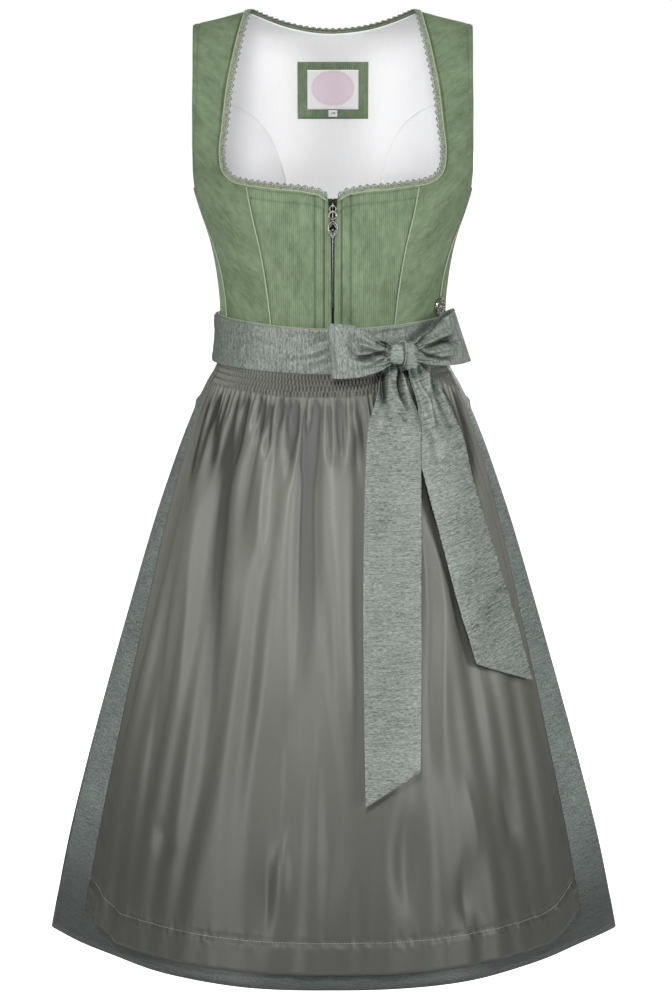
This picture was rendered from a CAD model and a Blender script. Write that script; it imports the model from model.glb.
"""The looks of a dirndl dress: corduroy bodice, slubbed skirt, satin apron, sash and bow.

Metres, +Z up, the front towards -Y. Left and right are as seen from the front.
"""

import math
from collections import namedtuple

import bmesh
import bpy
import numpy as np
from mathutils import Matrix, Vector


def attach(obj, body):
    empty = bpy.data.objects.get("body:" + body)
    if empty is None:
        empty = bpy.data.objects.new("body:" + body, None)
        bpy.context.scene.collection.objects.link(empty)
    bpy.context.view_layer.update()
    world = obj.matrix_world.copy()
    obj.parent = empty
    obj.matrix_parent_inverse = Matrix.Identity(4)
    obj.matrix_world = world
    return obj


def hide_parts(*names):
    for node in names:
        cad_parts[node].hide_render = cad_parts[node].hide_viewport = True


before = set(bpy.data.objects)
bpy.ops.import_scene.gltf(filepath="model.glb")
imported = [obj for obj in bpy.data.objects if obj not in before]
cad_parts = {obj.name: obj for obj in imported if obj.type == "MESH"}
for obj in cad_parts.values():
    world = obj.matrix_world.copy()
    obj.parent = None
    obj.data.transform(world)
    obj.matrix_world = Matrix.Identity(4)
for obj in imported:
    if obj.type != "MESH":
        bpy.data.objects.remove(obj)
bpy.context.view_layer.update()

# ---- View, light and floor ------------------------------------------------------------------------
# A camera as high as the shoulders looks slightly down at the dress. Soft lights stand high in front of it,
# low at both sides, overhead and behind, over a plain white floor.

camera = bpy.data.objects.new("camera", bpy.data.cameras.new("camera"))
camera.location = (0.0035, -3.589, 0)
camera.rotation_euler = (math.radians(90 - 8.6), 0, 0)
camera.data.lens = 116.56
bpy.context.scene.collection.objects.link(camera)
bpy.context.scene.camera = camera
bpy.context.scene.view_settings.view_transform = "Standard"

for light_name, light_place, light_aim, light_size, light_power in (
    ("front_light", (-0.25, -2.7, 1.15), (0, 0, -0.25), 0.6, 51),
    ("left_light", (-2.5, -2.3, -0.3), (0, 0, -0.45), 0.8, 32),
    ("right_light", (2.6, -2.2, 0.1), (0, 0, -0.4), 1.2, 48),
    ("top_light", (0.1, 0.2, 2.1), (0, 0, -0.2), 1.6, 8),
    ("back_light", (0.6, 3.2, 0.8), (0, 0, -0.5), 2.5, 60),
):
    light = bpy.data.objects.new(light_name, bpy.data.lights.new(light_name, "AREA"))
    light.data.size = light_size
    light.data.energy = light_power
    light.location = light_place
    light.rotation_euler = (Vector(light_aim) - light.location).to_track_quat("-Z", "Y").to_euler()
    bpy.context.scene.collection.objects.link(light)


def node(tree, kind, inputs=None, **settings):
    """A node of a tree, with each input linked to a socket or given a value."""
    made = tree.nodes.new(kind)
    for name, value in settings.items():
        setattr(made, name, value)
    for name, value in (inputs or {}).items():
        if isinstance(value, bpy.types.NodeSocket):
            tree.links.new(value, made.inputs[name])
        else:
            made.inputs[name].default_value = value
    return made


SKY_STRENGTH = 0.13
world = bpy.data.worlds.new("studio")
world.use_nodes = True
bpy.context.scene.world = world
sky = world.node_tree
seen = node(sky, "ShaderNodeLightPath").outputs["Is Camera Ray"]
strength = node(sky, "ShaderNodeMath", {0: seen, 1: 1 - SKY_STRENGTH, 2: SKY_STRENGTH}, operation="MULTIPLY_ADD")
sky.links.new(strength.outputs[0], sky.nodes["Background"].inputs["Strength"])
sky.nodes["Background"].inputs["Color"].default_value = (1, 1, 1, 1)

FLOOR_HEIGHT = -1.42
floor_mesh = bpy.data.meshes.new("floor")
floor_mesh.from_pydata(
    [(x, y, FLOOR_HEIGHT) for x, y in ((-30, -30), (30, -30), (30, 30), (-30, 30))], [], [(0, 1, 2, 3)]
)
floor = bpy.data.objects.new("floor", floor_mesh)
bpy.context.scene.collection.objects.link(floor)
floor_paint = bpy.data.materials.new("floor_paint")
floor_paint.use_nodes = True
floor_tree = floor_paint.node_tree
floor_shader = floor_tree.nodes["Principled BSDF"]
floor_shader.inputs["Base Color"].default_value = (0.82, 0.82, 0.82, 1)
floor_shader.inputs["Roughness"].default_value = 0.9
floor_shader.inputs["Emission Color"].default_value = (1, 1, 1, 1)
floor_seen = node(floor_tree, "ShaderNodeLightPath").outputs["Is Camera Ray"]
floor_glow = node(floor_tree, "ShaderNodeMath", {0: floor_seen, 1: 1.1}, operation="MULTIPLY")
floor_tree.links.new(floor_glow.outputs[0], floor_shader.inputs["Emission Strength"])
floor_mesh.materials.append(floor_paint)

# ---- Front side panels with the straps -------------------------------------------------------------
# The outer panels of the front run up over the shoulders as wide straps. They are fine-wale corduroy
# cut on the bias, lined in white, and sewn to the centre panels along the princess seams.

# The form that all the cloth lies on: level outlines of the wearer down to the waist, and of the
# hanging skirt below. `around` is 0 at the middle of the front, 1 at the right side and 2 at the
# middle of the back. `down` runs down the cloth from the shoulder line, and `out` is outside the form.
Level = namedtuple("Level", "down height half_width front back front_edge back_edge roundness lens")


def rows_of(kind, *rows):
    return [kind(*row) for row in rows]


FORM_LEVELS = rows_of(
    Level,
    (0, 0, 0.153, 0, 0, 0, 0, 1.9, 0), (0.006, -0.0004, 0.153, 0.0059, 0.0059, 0.0058, 0.0058, 1.9, 0),
    (0.015, -0.0036, 0.153, 0.0138, 0.014, 0.013, 0.0135, 1.9, 0),
    (0.03, -0.0135, 0.153, 0.025, 0.032, 0.0225, 0.025, 1.9, 0),
    (0.045, -0.0265, 0.153, 0.034, 0.05, 0.03, 0.033, 1.9, 0),
    (0.07, -0.05, 0.153, 0.0465, 0.067, 0.0385, 0.041, 1.9, 0),
    (0.1, -0.079, 0.153, 0.059, 0.078, 0.045, 0.047, 1.9, 0),
    (0.13, -0.1085, 0.153, 0.071, 0.085, 0.047, 0.049, 1.9, 0),
    (0.155, -0.133, 0.1532, 0.082, 0.0885, 0.044, 0.0455, 1.95, 0),
    (0.178, -0.1555, 0.1536, 0.093, 0.09, 0.035, 0.036, 2.05, 0),
    (0.196, -0.173, 0.1538, 0.101, 0.09, 0.022, 0.0225, 2.15, 0),
    (0.2135, -0.19, 0.1532, 0.107, 0.0895, 0, 0, 2.3, 0), (0.2305, -0.207, 0.149, 0.11, 0.088, 0, 0, 2.35, 0),
    (0.2525, -0.229, 0.143, 0.111, 0.086, 0, 0, 2.35, 0), (0.2745, -0.251, 0.136, 0.1095, 0.0835, 0, 0, 2.3, 0),
    (0.2965, -0.273, 0.131, 0.106, 0.081, 0, 0, 2.25, 0), (0.3195, -0.296, 0.1275, 0.102, 0.079, 0, 0, 2.2, 0),
    (0.3415, -0.318, 0.1256, 0.099, 0.0775, 0, 0, 2.15, 0), (0.3595, -0.336, 0.1253, 0.0975, 0.077, 0, 0, 2.12, 0),
    (0.3865, -0.363, 0.1262, 0.098, 0.079, 0, 0, 2.1, 0), (0.4095, -0.386, 0.129, 0.0995, 0.0825, 0, 0, 2.05, 0),
    (0.4305, -0.407, 0.14, 0.105, 0.094, 0, 0, 2, 0), (0.4535, -0.43, 0.1512, 0.111, 0.104, 0, 0, 2, 0.05),
    (0.4985, -0.475, 0.1695, 0.1235, 0.119, 0, 0, 2, 0.15), (0.5435, -0.52, 0.1855, 0.1355, 0.132, 0, 0, 2, 0.28),
    (0.5885, -0.565, 0.2005, 0.1475, 0.145, 0, 0, 2, 0.42), (0.6795, -0.656, 0.2275, 0.17, 0.169, 0, 0, 2, 0.65),
    (0.7715, -0.748, 0.254, 0.192, 0.192, 0, 0, 2, 0.82), (0.8635, -0.84, 0.279, 0.213, 0.2135, 0, 0, 2, 0.94),
    (0.9575, -0.934, 0.302, 0.232, 0.2325, 0, 0, 2, 1), (1.0575, -1.034, 0.3215, 0.249, 0.25, 0, 0, 2, 1),
)
Edge = namedtuple("Edge", "height across")
STRAP_INNER_EDGE = rows_of(
    Edge,
    (-0.1828, 0.0945), (-0.1805, 0.1045), (-0.1735, 0.114), (-0.165, 0.118), (-0.15, 0.119), (-0.127, 0.1165),
    (-0.0813, 0.1112), (-0.0585, 0.107), (-0.0265, 0.1), (0, 0.0925),
)
PRINCESS_SEAM = rows_of(
    Edge,
    (-0.35, 0.065), (-0.3, 0.0712), (-0.255, 0.0785), (-0.215, 0.0875), (-0.1828, 0.0938),
)
SeamTurn = namedtuple("SeamTurn", "height around")
SIDE_SEAM = rows_of(
    SeamTurn,
    (-0.35, 0.765), (-0.29, 0.775), (-0.262, 0.8), (-0.238, 0.84), (-0.212, 0.91), (-0.19, 1),
)
UNDERARM = -0.19
WAIST_SIDE = -0.333
WAIST_DIP = 0.009
WAIST_GIVE_FROM = 0.25
NECK_HALF_WIDTH = 0.0905
BACK_NECK_DROP = 0.0228
BACK_NECK_FADE = 0.12
SHOULDER_SLOPE = 0.25
BUST_ACROSS, BUST_HEIGHT, BUST_RISE, BUST_SPREAD = 0.07, -0.214, 0.006, 0.034
SIDE_FOLD_RADIUS = 0.015
LENS_POWER = 1.33
FORM_DOWN_STEP = 0.002
FORM_COLUMNS = 321
OUTLINE_POINTS = 400


def column(rows, name):
    return np.array([getattr(row, name) for row in rows])


def read_table(rows, name, at):
    """A smooth curve through one column of a table, never past its values, read at `at` in the first column."""
    knots = column(rows, rows[0]._fields[0])
    values = column(rows, name)
    chords = np.diff(values) / np.diff(knots)
    slopes = np.concatenate([chords[:1], np.zeros(len(knots) - 2), chords[-1:]])
    same_way = np.flatnonzero(chords[:-1] * chords[1:] > 0)
    slopes[same_way + 1] = 2 * chords[same_way] * chords[same_way + 1] / (chords[same_way] + chords[same_way + 1])
    at = np.asarray(at, float)
    index = np.clip(np.searchsorted(knots, at) - 1, 0, len(knots) - 2)
    span = knots[index + 1] - knots[index]
    part = np.clip((at - knots[index]) / span, 0, 1)
    start = values[index] * (1 + 2 * part) * (1 - part) ** 2 + slopes[index] * span * part * (1 - part) ** 2
    end = values[index + 1] * (3 - 2 * part) * part**2 - slopes[index + 1] * span * (1 - part) * part**2
    return start + end


def smooth_step(value, low, high):
    part = np.clip((value - low) / (high - low), 0, 1)
    return part * part * (3 - 2 * part)


def evenly_spaced(points, count):
    """The same line with its points evenly spaced along it."""
    steps = np.linalg.norm(np.diff(points, axis=0), axis=1)
    length = np.concatenate([[0], np.cumsum(steps)])
    at = np.linspace(0, length[-1], count)
    return np.column_stack([np.interp(at, length, points[:, k]) for k in range(points.shape[1])])


def round_quarter(half_width, depth, edge, roundness):
    """A quarter of a level outline of the figure, from its middle to its side."""
    turn = np.linspace(0, math.pi / 2, OUTLINE_POINTS)
    across = half_width * np.sin(turn) ** (2 / roundness)
    away = edge + (depth - edge) * np.abs(np.cos(turn)) ** (2 / roundness)
    return np.column_stack([across, away])


def lens_quarter(half_width, depth):
    """A quarter of the hem's outline: flat in the middle, straight to the side, and folded round there."""
    width = half_width - SIDE_FOLD_RADIUS
    step = np.linspace(0, 1, OUTLINE_POINTS)
    bow = math.pi / 2 * step**LENS_POWER
    inner_depth = depth - SIDE_FOLD_RADIUS
    fall = inner_depth * math.pi / 2 * LENS_POWER * step ** (LENS_POWER - 1) * np.sin(bow)
    normal = np.column_stack([fall, np.full_like(fall, width)])
    normal /= np.linalg.norm(normal, axis=1)[:, None]
    face = np.column_stack([width * step, inner_depth * np.cos(bow)]) + SIDE_FOLD_RADIUS * normal
    turn = np.linspace(math.atan2(normal[-1, 1], normal[-1, 0]), 0, OUTLINE_POINTS // 4)
    fold = np.column_stack([width + SIDE_FOLD_RADIUS * np.cos(turn), SIDE_FOLD_RADIUS * np.sin(turn)])
    return np.vstack([face, fold[1:]])


def outline(level, face):
    """Half a level outline, from the left side through the middle to the right side, as (across, away)."""
    count = FORM_COLUMNS // 2 + 1
    quarter = evenly_spaced(
        round_quarter(level["half_width"], level[face], level[face + "_edge"], level["roundness"]), count
    )
    lens = level["lens"]
    if lens > 0:
        hanging = evenly_spaced(lens_quarter(level["half_width"], level[face]), count)
        quarter = evenly_spaced((1 - lens) * quarter + lens * hanging, count)
    return np.vstack([quarter[:0:-1] * (-1, 1), quarter])


def build_form():
    """Points and outward normals of the form, for the front (0) and the back (1), by row and column."""
    downs = np.arange(0, FORM_LEVELS[-1].down + FORM_DOWN_STEP, FORM_DOWN_STEP)
    levels = {name: read_table(FORM_LEVELS, name, downs) for name in Level._fields[1:]}
    heights = levels["height"]
    points = np.empty((2, len(downs), FORM_COLUMNS, 3))
    for face, facing, name in ((0, -1, "front"), (1, 1, "back")):
        for row in range(len(downs)):
            line = outline({key: float(values[row]) for key, values in levels.items()}, name)
            points[face, row, :, 0] = line[:, 0]
            points[face, row, :, 1] = facing * line[:, 1]
            points[face, row, :, 2] = heights[row]
    across = np.abs(points[..., 0])
    slope_fade = 1 - smooth_step(downs, 0, BACK_NECK_FADE)
    points[..., 2] -= SHOULDER_SLOPE * np.maximum(across - NECK_HALF_WIDTH, 0) * slope_fade[:, None]
    bust = ((across[0] - BUST_ACROSS) / BUST_SPREAD) ** 2 + ((points[0, ..., 2] - BUST_HEIGHT) / BUST_SPREAD) ** 2
    points[0, ..., 1] -= BUST_RISE * np.exp(-bust)
    normals = np.cross(np.gradient(points, axis=1), np.gradient(points, axis=2))
    normals[1] *= -1
    normals /= np.linalg.norm(normals, axis=-1)[..., None]
    below_underarm = int(np.searchsorted(-heights, -UNDERARM))
    for joined_rows, joined_column in (
        (slice(0, 2), slice(None)),
        (slice(below_underarm, None), 0),
        (slice(below_underarm, None), -1),
    ):
        between = normals[:, joined_rows, joined_column].sum(axis=0)
        normals[:, joined_rows, joined_column] = between / np.linalg.norm(between, axis=-1)[..., None]
    return downs, heights, points, normals


FORM_DOWNS, FORM_HEIGHTS, FORM_POINTS, FORM_NORMALS = build_form()
FORM_TURNS = np.linspace(-1, 1, FORM_COLUMNS)
form_steps = np.linalg.norm(np.diff(FORM_POINTS, axis=2), axis=-1)
FORM_ARCS = np.concatenate([np.zeros_like(form_steps[:, :, :1]), np.cumsum(form_steps, axis=2)], axis=2)
FORM_ARCS -= FORM_ARCS[:, :, FORM_COLUMNS // 2 : FORM_COLUMNS // 2 + 1]
ACROSS_SWINGS = np.linspace(-math.pi / 2, math.pi / 2, FORM_COLUMNS)
FORM_WIDTHS = np.abs(FORM_POINTS[..., -1, 0])
TURNS_BY_SWING = np.array(
    [[np.interp(np.sin(ACROSS_SWINGS) * row[-1, 0], row[:, 0], FORM_TURNS) for row in face] for face in FORM_POINTS]
)


def height_at(down):
    return np.interp(down, FORM_DOWNS, FORM_HEIGHTS)


def down_at(height):
    """How far down the cloth a height is, on the middle of the form."""
    return np.interp(-np.asarray(height, float), -FORM_HEIGHTS, FORM_DOWNS)


def form_place(around, down):
    """The face, row and column of places on the form, with the shares between rows and columns."""
    around = (around + 2) % 4 - 2
    face = (np.abs(around) > 1).astype(int)
    turned = np.where(face == 1, np.sign(around) * (2 - np.abs(around)), around)
    row = np.clip(down / FORM_DOWN_STEP, 0, len(FORM_DOWNS) - 1.001)
    col = np.clip((turned + 1) / 2 * (FORM_COLUMNS - 1), 0, FORM_COLUMNS - 1.001)
    r, c = row.astype(int), col.astype(int)
    return face, r, c, row - r, col - c


def blend_grid(grid, place):
    face, r, c, below, across = place
    if grid.ndim == 4:
        below, across = below[..., None], across[..., None]
    upper = grid[face, r, c] * (1 - across) + grid[face, r, c + 1] * across
    lower = grid[face, r + 1, c] * (1 - across) + grid[face, r + 1, c + 1] * across
    return upper * (1 - below) + lower * below


def on_form(around, down, out=0.0):
    """Points at (around, down), `out` outside the form."""
    around, down, out = np.broadcast_arrays(np.asarray(around, float), down, out)
    place = form_place(around, down)
    normal = blend_grid(FORM_NORMALS, place)
    normal /= np.linalg.norm(normal, axis=-1)[..., None]
    return blend_grid(FORM_POINTS, place) + out[..., None] * normal


def cut_on_form(around, down):
    """Where a place lies on the flat cloth, in metres: along the thread from the middle, and up."""
    around, down = np.broadcast_arrays(np.asarray(around, float), down)
    place = form_place(around, down)
    along = blend_grid(FORM_ARCS, place)
    return np.stack([np.where(place[0] == 1, -along, along), -down], axis=-1)


def around_at(across, down, face=0):
    """The `around` of a place `across` from the middle: 0 to 1 on the front's right half, 2 to 1 on the back's."""
    across, down = np.broadcast_arrays(np.asarray(across, float), down)
    row = np.clip(np.round(down / FORM_DOWN_STEP).astype(int), 0, len(FORM_DOWNS) - 1)
    swing = np.arcsin(np.clip(across / FORM_WIDTHS[face, row], -1, 1))
    col = (swing / math.pi + 0.5) * (FORM_COLUMNS - 1)
    c = np.clip(col.astype(int), 0, FORM_COLUMNS - 2)
    found = TURNS_BY_SWING[face, row, c] * (1 - (col - c)) + TURNS_BY_SWING[face, row, c + 1] * (col - c)
    return 2 - found if face else found


def girth_share(metres, down, face=0):
    """The share of `around` that a length along a level outline takes."""
    row = np.clip(np.round(np.asarray(down) / FORM_DOWN_STEP).astype(int), 0, len(FORM_DOWNS) - 1)
    return 2 * metres / (FORM_ARCS[face, row, -1] - FORM_ARCS[face, row, 0])


def waist_height(around):
    """The waist seam dips at the middle of the front and is level round the back."""
    return WAIST_SIDE - WAIST_DIP * np.where(np.abs(around) < 1, np.cos(math.pi / 2 * around) ** 2, 0)


def settle_on_waist(around, down):
    """Lowers a panel's bottom rows so that its last one lies on the waist seam."""
    give = smooth_step(down, WAIST_GIVE_FROM, down_at(WAIST_SIDE))
    return down + give * (down_at(waist_height(around)) - down_at(WAIST_SIDE))


def princess_seam(down):
    return around_at(read_table(PRINCESS_SEAM, "across", height_at(down)), down)


def side_seam(down):
    """It runs forward of the side, up to the underarm. Above that it is the front's edge of the armhole."""
    return np.minimum(read_table(SIDE_SEAM, "around", np.minimum(height_at(down), UNDERARM)), 1)


def strap_inner_edge(down):
    """The princess seam up to the neckline's corner, and then the strap's edge."""
    height = height_at(down)
    strap = around_at(read_table(STRAP_INNER_EDGE, "across", height), down)
    return np.where(height > PRINCESS_SEAM[-1].height, strap, princess_seam(down))


def drift(across, along, length, seed):
    """Slow uneven swelling between -1 and 1, with bumps about `length` long."""
    random = np.random.default_rng(seed)
    total = np.zeros(np.broadcast(across, along).shape)
    for _ in range(7):
        turn, phase = random.uniform(0, 2 * math.pi, 2)
        pitch = length * random.uniform(0.7, 1.8)
        total += np.sin(2 * math.pi * (across * math.cos(turn) + along * math.sin(turn)) / pitch + phase)
    return total / 4


EDGE_STEPS = (0.0, 0.0006, 0.0013, 0.0022, 0.0035, 0.0049, 0.0056, 0.0062, 0.0068, 0.0075)


def shares_across(width, step):
    """Column places between two edges, as shares of the width, closer together near the edges."""
    inner = np.array(EDGE_STEPS) / width
    middle = np.linspace(inner[-1], 1 - inner[-1], max(3, int(round(width / step))))
    return np.concatenate([inner[:-1], middle, 1 - inner[-2::-1]])


def seam_dip(share, width, depth=0.0011, reach=0.0016):
    """How far an edge rolls in where it is sewn to the next panel."""
    near = np.minimum(share, 1 - share) * width
    return -depth * np.exp(-((near / reach) ** 2))


def turned_cut(cut, degrees):
    """Flat cloth places turned by the angle that the piece is cut at."""
    angle = math.radians(degrees)
    turn = np.array([[math.cos(angle), math.sin(angle)], [-math.sin(angle), math.cos(angle)]])
    return cut @ turn


def sheet_mesh(name, points, cut, fine_rows, hollow):
    """A mesh of cloth from rows of points, top to bottom and left to right as seen from outside.

    Below the fine rows every second column is left out. `hollow` is 1 deep between folds, where little light reaches.
    """
    rows, columns = points.shape[:2]
    corner = np.arange(rows * columns).reshape(rows, columns)
    fine, coarse = corner[:fine_rows], corner[fine_rows:, ::2]
    faces = []
    for part in (fine, coarse):
        faces += np.stack([part[:-1, :-1], part[1:, :-1], part[1:, 1:], part[:-1, 1:]], axis=-1).reshape(-1, 4).tolist()
    if coarse.size:
        last, first = fine[-1], coarse[0]
        joins = (last[:-2:2], first[:-1], first[1:], last[2::2], last[1::2])
        faces += np.stack(joins, axis=-1).tolist()
    corners = np.array([index for face in faces for index in face])
    used, packed = np.unique(corners, return_inverse=True)
    sizes = np.cumsum([0] + [len(face) for face in faces])
    mesh = bpy.data.meshes.new(name)
    mesh.from_pydata(points.reshape(-1, 3)[used], [], [packed[i:j].tolist() for i, j in zip(sizes, sizes[1:])])
    mesh.uv_layers.new(name="cut").uv.foreach_set("vector", cut.reshape(-1, 2)[corners].astype(np.float32).ravel())
    hollows = np.broadcast_to(hollow, points.shape[:2]).reshape(-1)[used]
    mesh.attributes.new("hollow", "FLOAT", "POINT").data.foreach_set("value", hollows.astype(np.float32))
    mesh.shade_smooth()
    return mesh


def show(name, mesh, body, slot, *materials, replaces=()):
    """Puts a finished mesh in the scene as a piece of the dress."""
    made = bpy.data.objects.new(name, mesh)
    bpy.context.scene.collection.objects.link(made)
    for material in materials:
        mesh.materials.append(material)
    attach(made, body)
    if replaces:
        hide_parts(*replaces)
    return made


NARROWEST_SHEET = 0.0105


def cloth(
    name, points, cut, slot, thickness, *materials,
    replaces=(), held="stretched", rests_on=(), with_pieces=(), fine_rows=None, hollow=0.0,
):
    """A piece of cloth with its wall; a second material is its inner face."""
    mesh = sheet_mesh(name, points, cut, fine_rows or len(points), hollow)
    made = show(name, mesh, "dress", slot, *materials, replaces=replaces)
    wall = made.modifiers.new("wall", "SOLIDIFY")
    wall.thickness = thickness
    wall.offset = -1
    wall.material_offset = len(materials) - 1
    widest = np.linalg.norm(np.diff(points, axis=1), axis=-1).sum(axis=1).max()
    longest = np.linalg.norm(np.diff(points, axis=0), axis=-1).sum(axis=0).max()
    edges = points[1:, :-1] - points[:-1, :-1], points[:-1, 1:] - points[:-1, :-1]
    area = np.linalg.norm(np.cross(*edges), axis=-1).sum()
    if min(widest, longest) > NARROWEST_SHEET:
        flat = (round(float(widest), 3), round(float(longest), 3))
        area = round(float(min(area, flat[0] * flat[1])), 6)
    return made


def mirrored(points, cut):
    """The left side's piece from the right side's."""
    return points[:, ::-1] * (-1, 1, 1), cut[:, ::-1] * (-1, 1)


def cloth_pair(name, points, cut, hollow, *finish):
    """The right side's piece, and the left side's that mirrors it."""
    left = (*mirrored(points, cut), hollow[:, ::-1])
    for word, (points, cut, hollow) in (("right", (points, cut, hollow)), ("left", left)):
        cloth(f"{name}_{word}_cloth", points, cut, *finish, replaces=[f"{name}_{word}"], hollow=hollow)


def new_material(name, roughness, **constants):
    """A Principled material, its tree and its shader, with constants on the shader's own sockets."""
    material = bpy.data.materials.new(name)
    material.use_nodes = True
    tree = material.node_tree
    shader = tree.nodes["Principled BSDF"]
    shader.inputs["Roughness"].default_value = roughness
    for socket, value in constants.items():
        shader.inputs[socket.replace("_", " ")].default_value = value
    return material, tree, shader


def paint(tree, shader, colour, height, strength, distance):
    """Joins a colour and a bump's height to a material's shader."""
    tree.links.new(colour, shader.inputs["Base Color"])
    bump = node(tree, "ShaderNodeBump", {"Height": height, "Strength": strength, "Distance": distance})
    tree.links.new(bump.outputs[0], shader.inputs["Normal"])


def cut_place(tree):
    """Where a point lies on the flat cloth, in metres."""
    return node(tree, "ShaderNodeUVMap", uv_map="cut").outputs[0]


def object_place(tree):
    return node(tree, "ShaderNodeTexCoord").outputs["Object"]


def new_group(name, inputs, outputs):
    """An empty shader group with float inputs and outputs, and a vector input for the place."""
    tree = bpy.data.node_groups.new(name, "ShaderNodeTree")
    tree.interface.new_socket("Place", in_out="INPUT", socket_type="NodeSocketVector")
    for socket, value in inputs.items():
        tree.interface.new_socket(socket, in_out="INPUT", socket_type="NodeSocketFloat").default_value = value
    for socket in outputs:
        tree.interface.new_socket(socket, in_out="OUTPUT", socket_type="NodeSocketFloat")
    return tree, tree.nodes.new("NodeGroupInput").outputs, tree.nodes.new("NodeGroupOutput").inputs


def maths(tree, operation, *values, clamp=False):
    return node(tree, "ShaderNodeMath", dict(enumerate(values)), operation=operation, use_clamp=clamp).outputs[0]


def stretched_noise(tree, place, scale, detail=2.0, roughness=0.5):
    """Noise whose grains are 1/scale long each way."""
    spread = node(tree, "ShaderNodeVectorMath", {0: place, 1: scale}, operation="MULTIPLY").outputs[0]
    noise = {"Vector": spread, "Scale": 1.0, "Detail": detail, "Roughness": roughness}
    return node(tree, "ShaderNodeTexNoise", noise).outputs["Fac"]


def off_middle(tree, value, weight, added, clamp=False):
    """A value's distance from 0.5, weighed and added to another."""
    return maths(tree, "MULTIPLY_ADD", maths(tree, "SUBTRACT", value, 0.5), weight, added, clamp=clamp)


# Wales: rounded ribs along the cloth with thin grooves between them, and nap that catches the light
# unevenly along each rib and in cloudy patches.
WALE_PITCH = 0.0021
wale_tree, wale_in, wale_out = new_group("wale", {"Pitch": WALE_PITCH}, ("Rib", "Nap", "Cloud", "Mottle"))
wale_parts = node(wale_tree, "ShaderNodeSeparateXYZ", {0: wale_in["Place"]}).outputs
wale_wander = stretched_noise(wale_tree, wale_in["Place"], (30, 60, 1))
wale_across = maths(wale_tree, "MULTIPLY_ADD", wale_wander, 0.0008, wale_parts["X"])
wale_turn = maths(wale_tree, "MULTIPLY", maths(wale_tree, "DIVIDE", wale_across, wale_in["Pitch"]), math.pi)
wale_groove = maths(wale_tree, "POWER", maths(wale_tree, "ABSOLUTE", maths(wale_tree, "COSINE", wale_turn)), 5.0)
wale_tree.links.new(maths(wale_tree, "SUBTRACT", 1.0, wale_groove), wale_out["Rib"])
for wale_part, scale, detail, roughness in (
    ("Nap", (900, 160, 1), 3.0, 0.6),
    ("Cloud", (34, 14, 1), 3.0, 0.55),
    ("Mottle", (170, 60, 1), 4.0, 0.65),
):
    wale_tree.links.new(stretched_noise(wale_tree, wale_in["Place"], scale, detail, roughness), wale_out[wale_part])


def colour_mix(tree, share, first, second):
    """A colour between two, by a share from 0 to 1."""
    mixed = node(tree, "ShaderNodeMix", {"Factor": share}, data_type="RGBA")
    for socket, value in (("A", first), ("B", second)):
        target = [found for found in mixed.inputs if found.name == socket and found.type == "RGBA"][0]
        if isinstance(value, bpy.types.NodeSocket):
            tree.links.new(value, target)
        else:
            target.default_value = (*value, 1)
    return [found for found in mixed.outputs if found.type == "RGBA"][0]


def hollowed(tree, colour, shade):
    """A colour that darkens to a shade where the mesh marks a deep hollow."""
    hollow = node(tree, "ShaderNodeAttribute", attribute_name="hollow").outputs["Fac"]
    return colour_mix(tree, hollow, colour, shade)


def corduroy_material(name, light, dark, sheen=0.32):
    material, tree, shader = new_material(name, 0.92, Sheen_Weight=sheen, Sheen_Roughness=0.45)
    shader.inputs["Sheen Tint"].default_value = (0.8, 0.95, 0.7, 1)
    shader.inputs["Specular IOR Level"].default_value = 0.15
    wale = node(tree, "ShaderNodeGroup", {}, node_tree=wale_tree)
    tree.links.new(cut_place(tree), wale.inputs["Place"])
    wale.inputs["Pitch"].default_value = WALE_PITCH
    wale = wale.outputs
    rib = maths(tree, "MULTIPLY_ADD", wale["Nap"], 0.5, maths(tree, "MULTIPLY", wale["Rib"], 0.42))
    share = off_middle(tree, wale["Cloud"], 1.2, off_middle(tree, wale["Mottle"], 1.3, rib), clamp=True)
    colour = hollowed(tree, colour_mix(tree, share, dark, light), (0.045, 0.07, 0.035))
    height = maths(tree, "MULTIPLY_ADD", wale["Nap"], 0.35, wale["Rib"])
    paint(tree, shader, colour, height, 0.45, 0.0004)
    return material


corduroy = corduroy_material("green_corduroy", (0.238, 0.313, 0.193), (0.098, 0.139, 0.08))
bias_corduroy = corduroy_material("green_corduroy_bias", (0.24, 0.317, 0.193), (0.094, 0.134, 0.076), sheen=0.15)

# The white lining is smooth cotton with faint upright threads.
white_lining, lining_tree, lining_shader = new_material("white_lining", 0.8, Sheen_Weight=0.1)
lining_thread = stretched_noise(lining_tree, cut_place(lining_tree), (700, 45, 1), 3.0)
lining_colour = colour_mix(lining_tree, lining_thread, (0.86, 0.86, 0.87), (0.95, 0.95, 0.955))
lining_colour = hollowed(lining_tree, lining_colour, (0.48, 0.48, 0.5))
paint(lining_tree, lining_shader, lining_colour, lining_thread, 0.25, 0.0003)

BODICE_WALL = 0.001
ROW_STEP = 0.0028
SIDE_WALE_DEGREES = 50
STITCH_IN_FROM_EDGE = 0.0062
STITCH_GROOVE = 0.0006


def groove(distance, depth=STITCH_GROOVE, reach=0.0011):
    """The dent that a row of stitches pulls into the cloth."""
    return -depth * np.exp(-((distance / reach) ** 2))


def stitch_shade(distance, share=0.55, reach=0.0008):
    """How dark a row of stitches looks in the nap."""
    return share * np.exp(-((distance / reach) ** 2))


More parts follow.
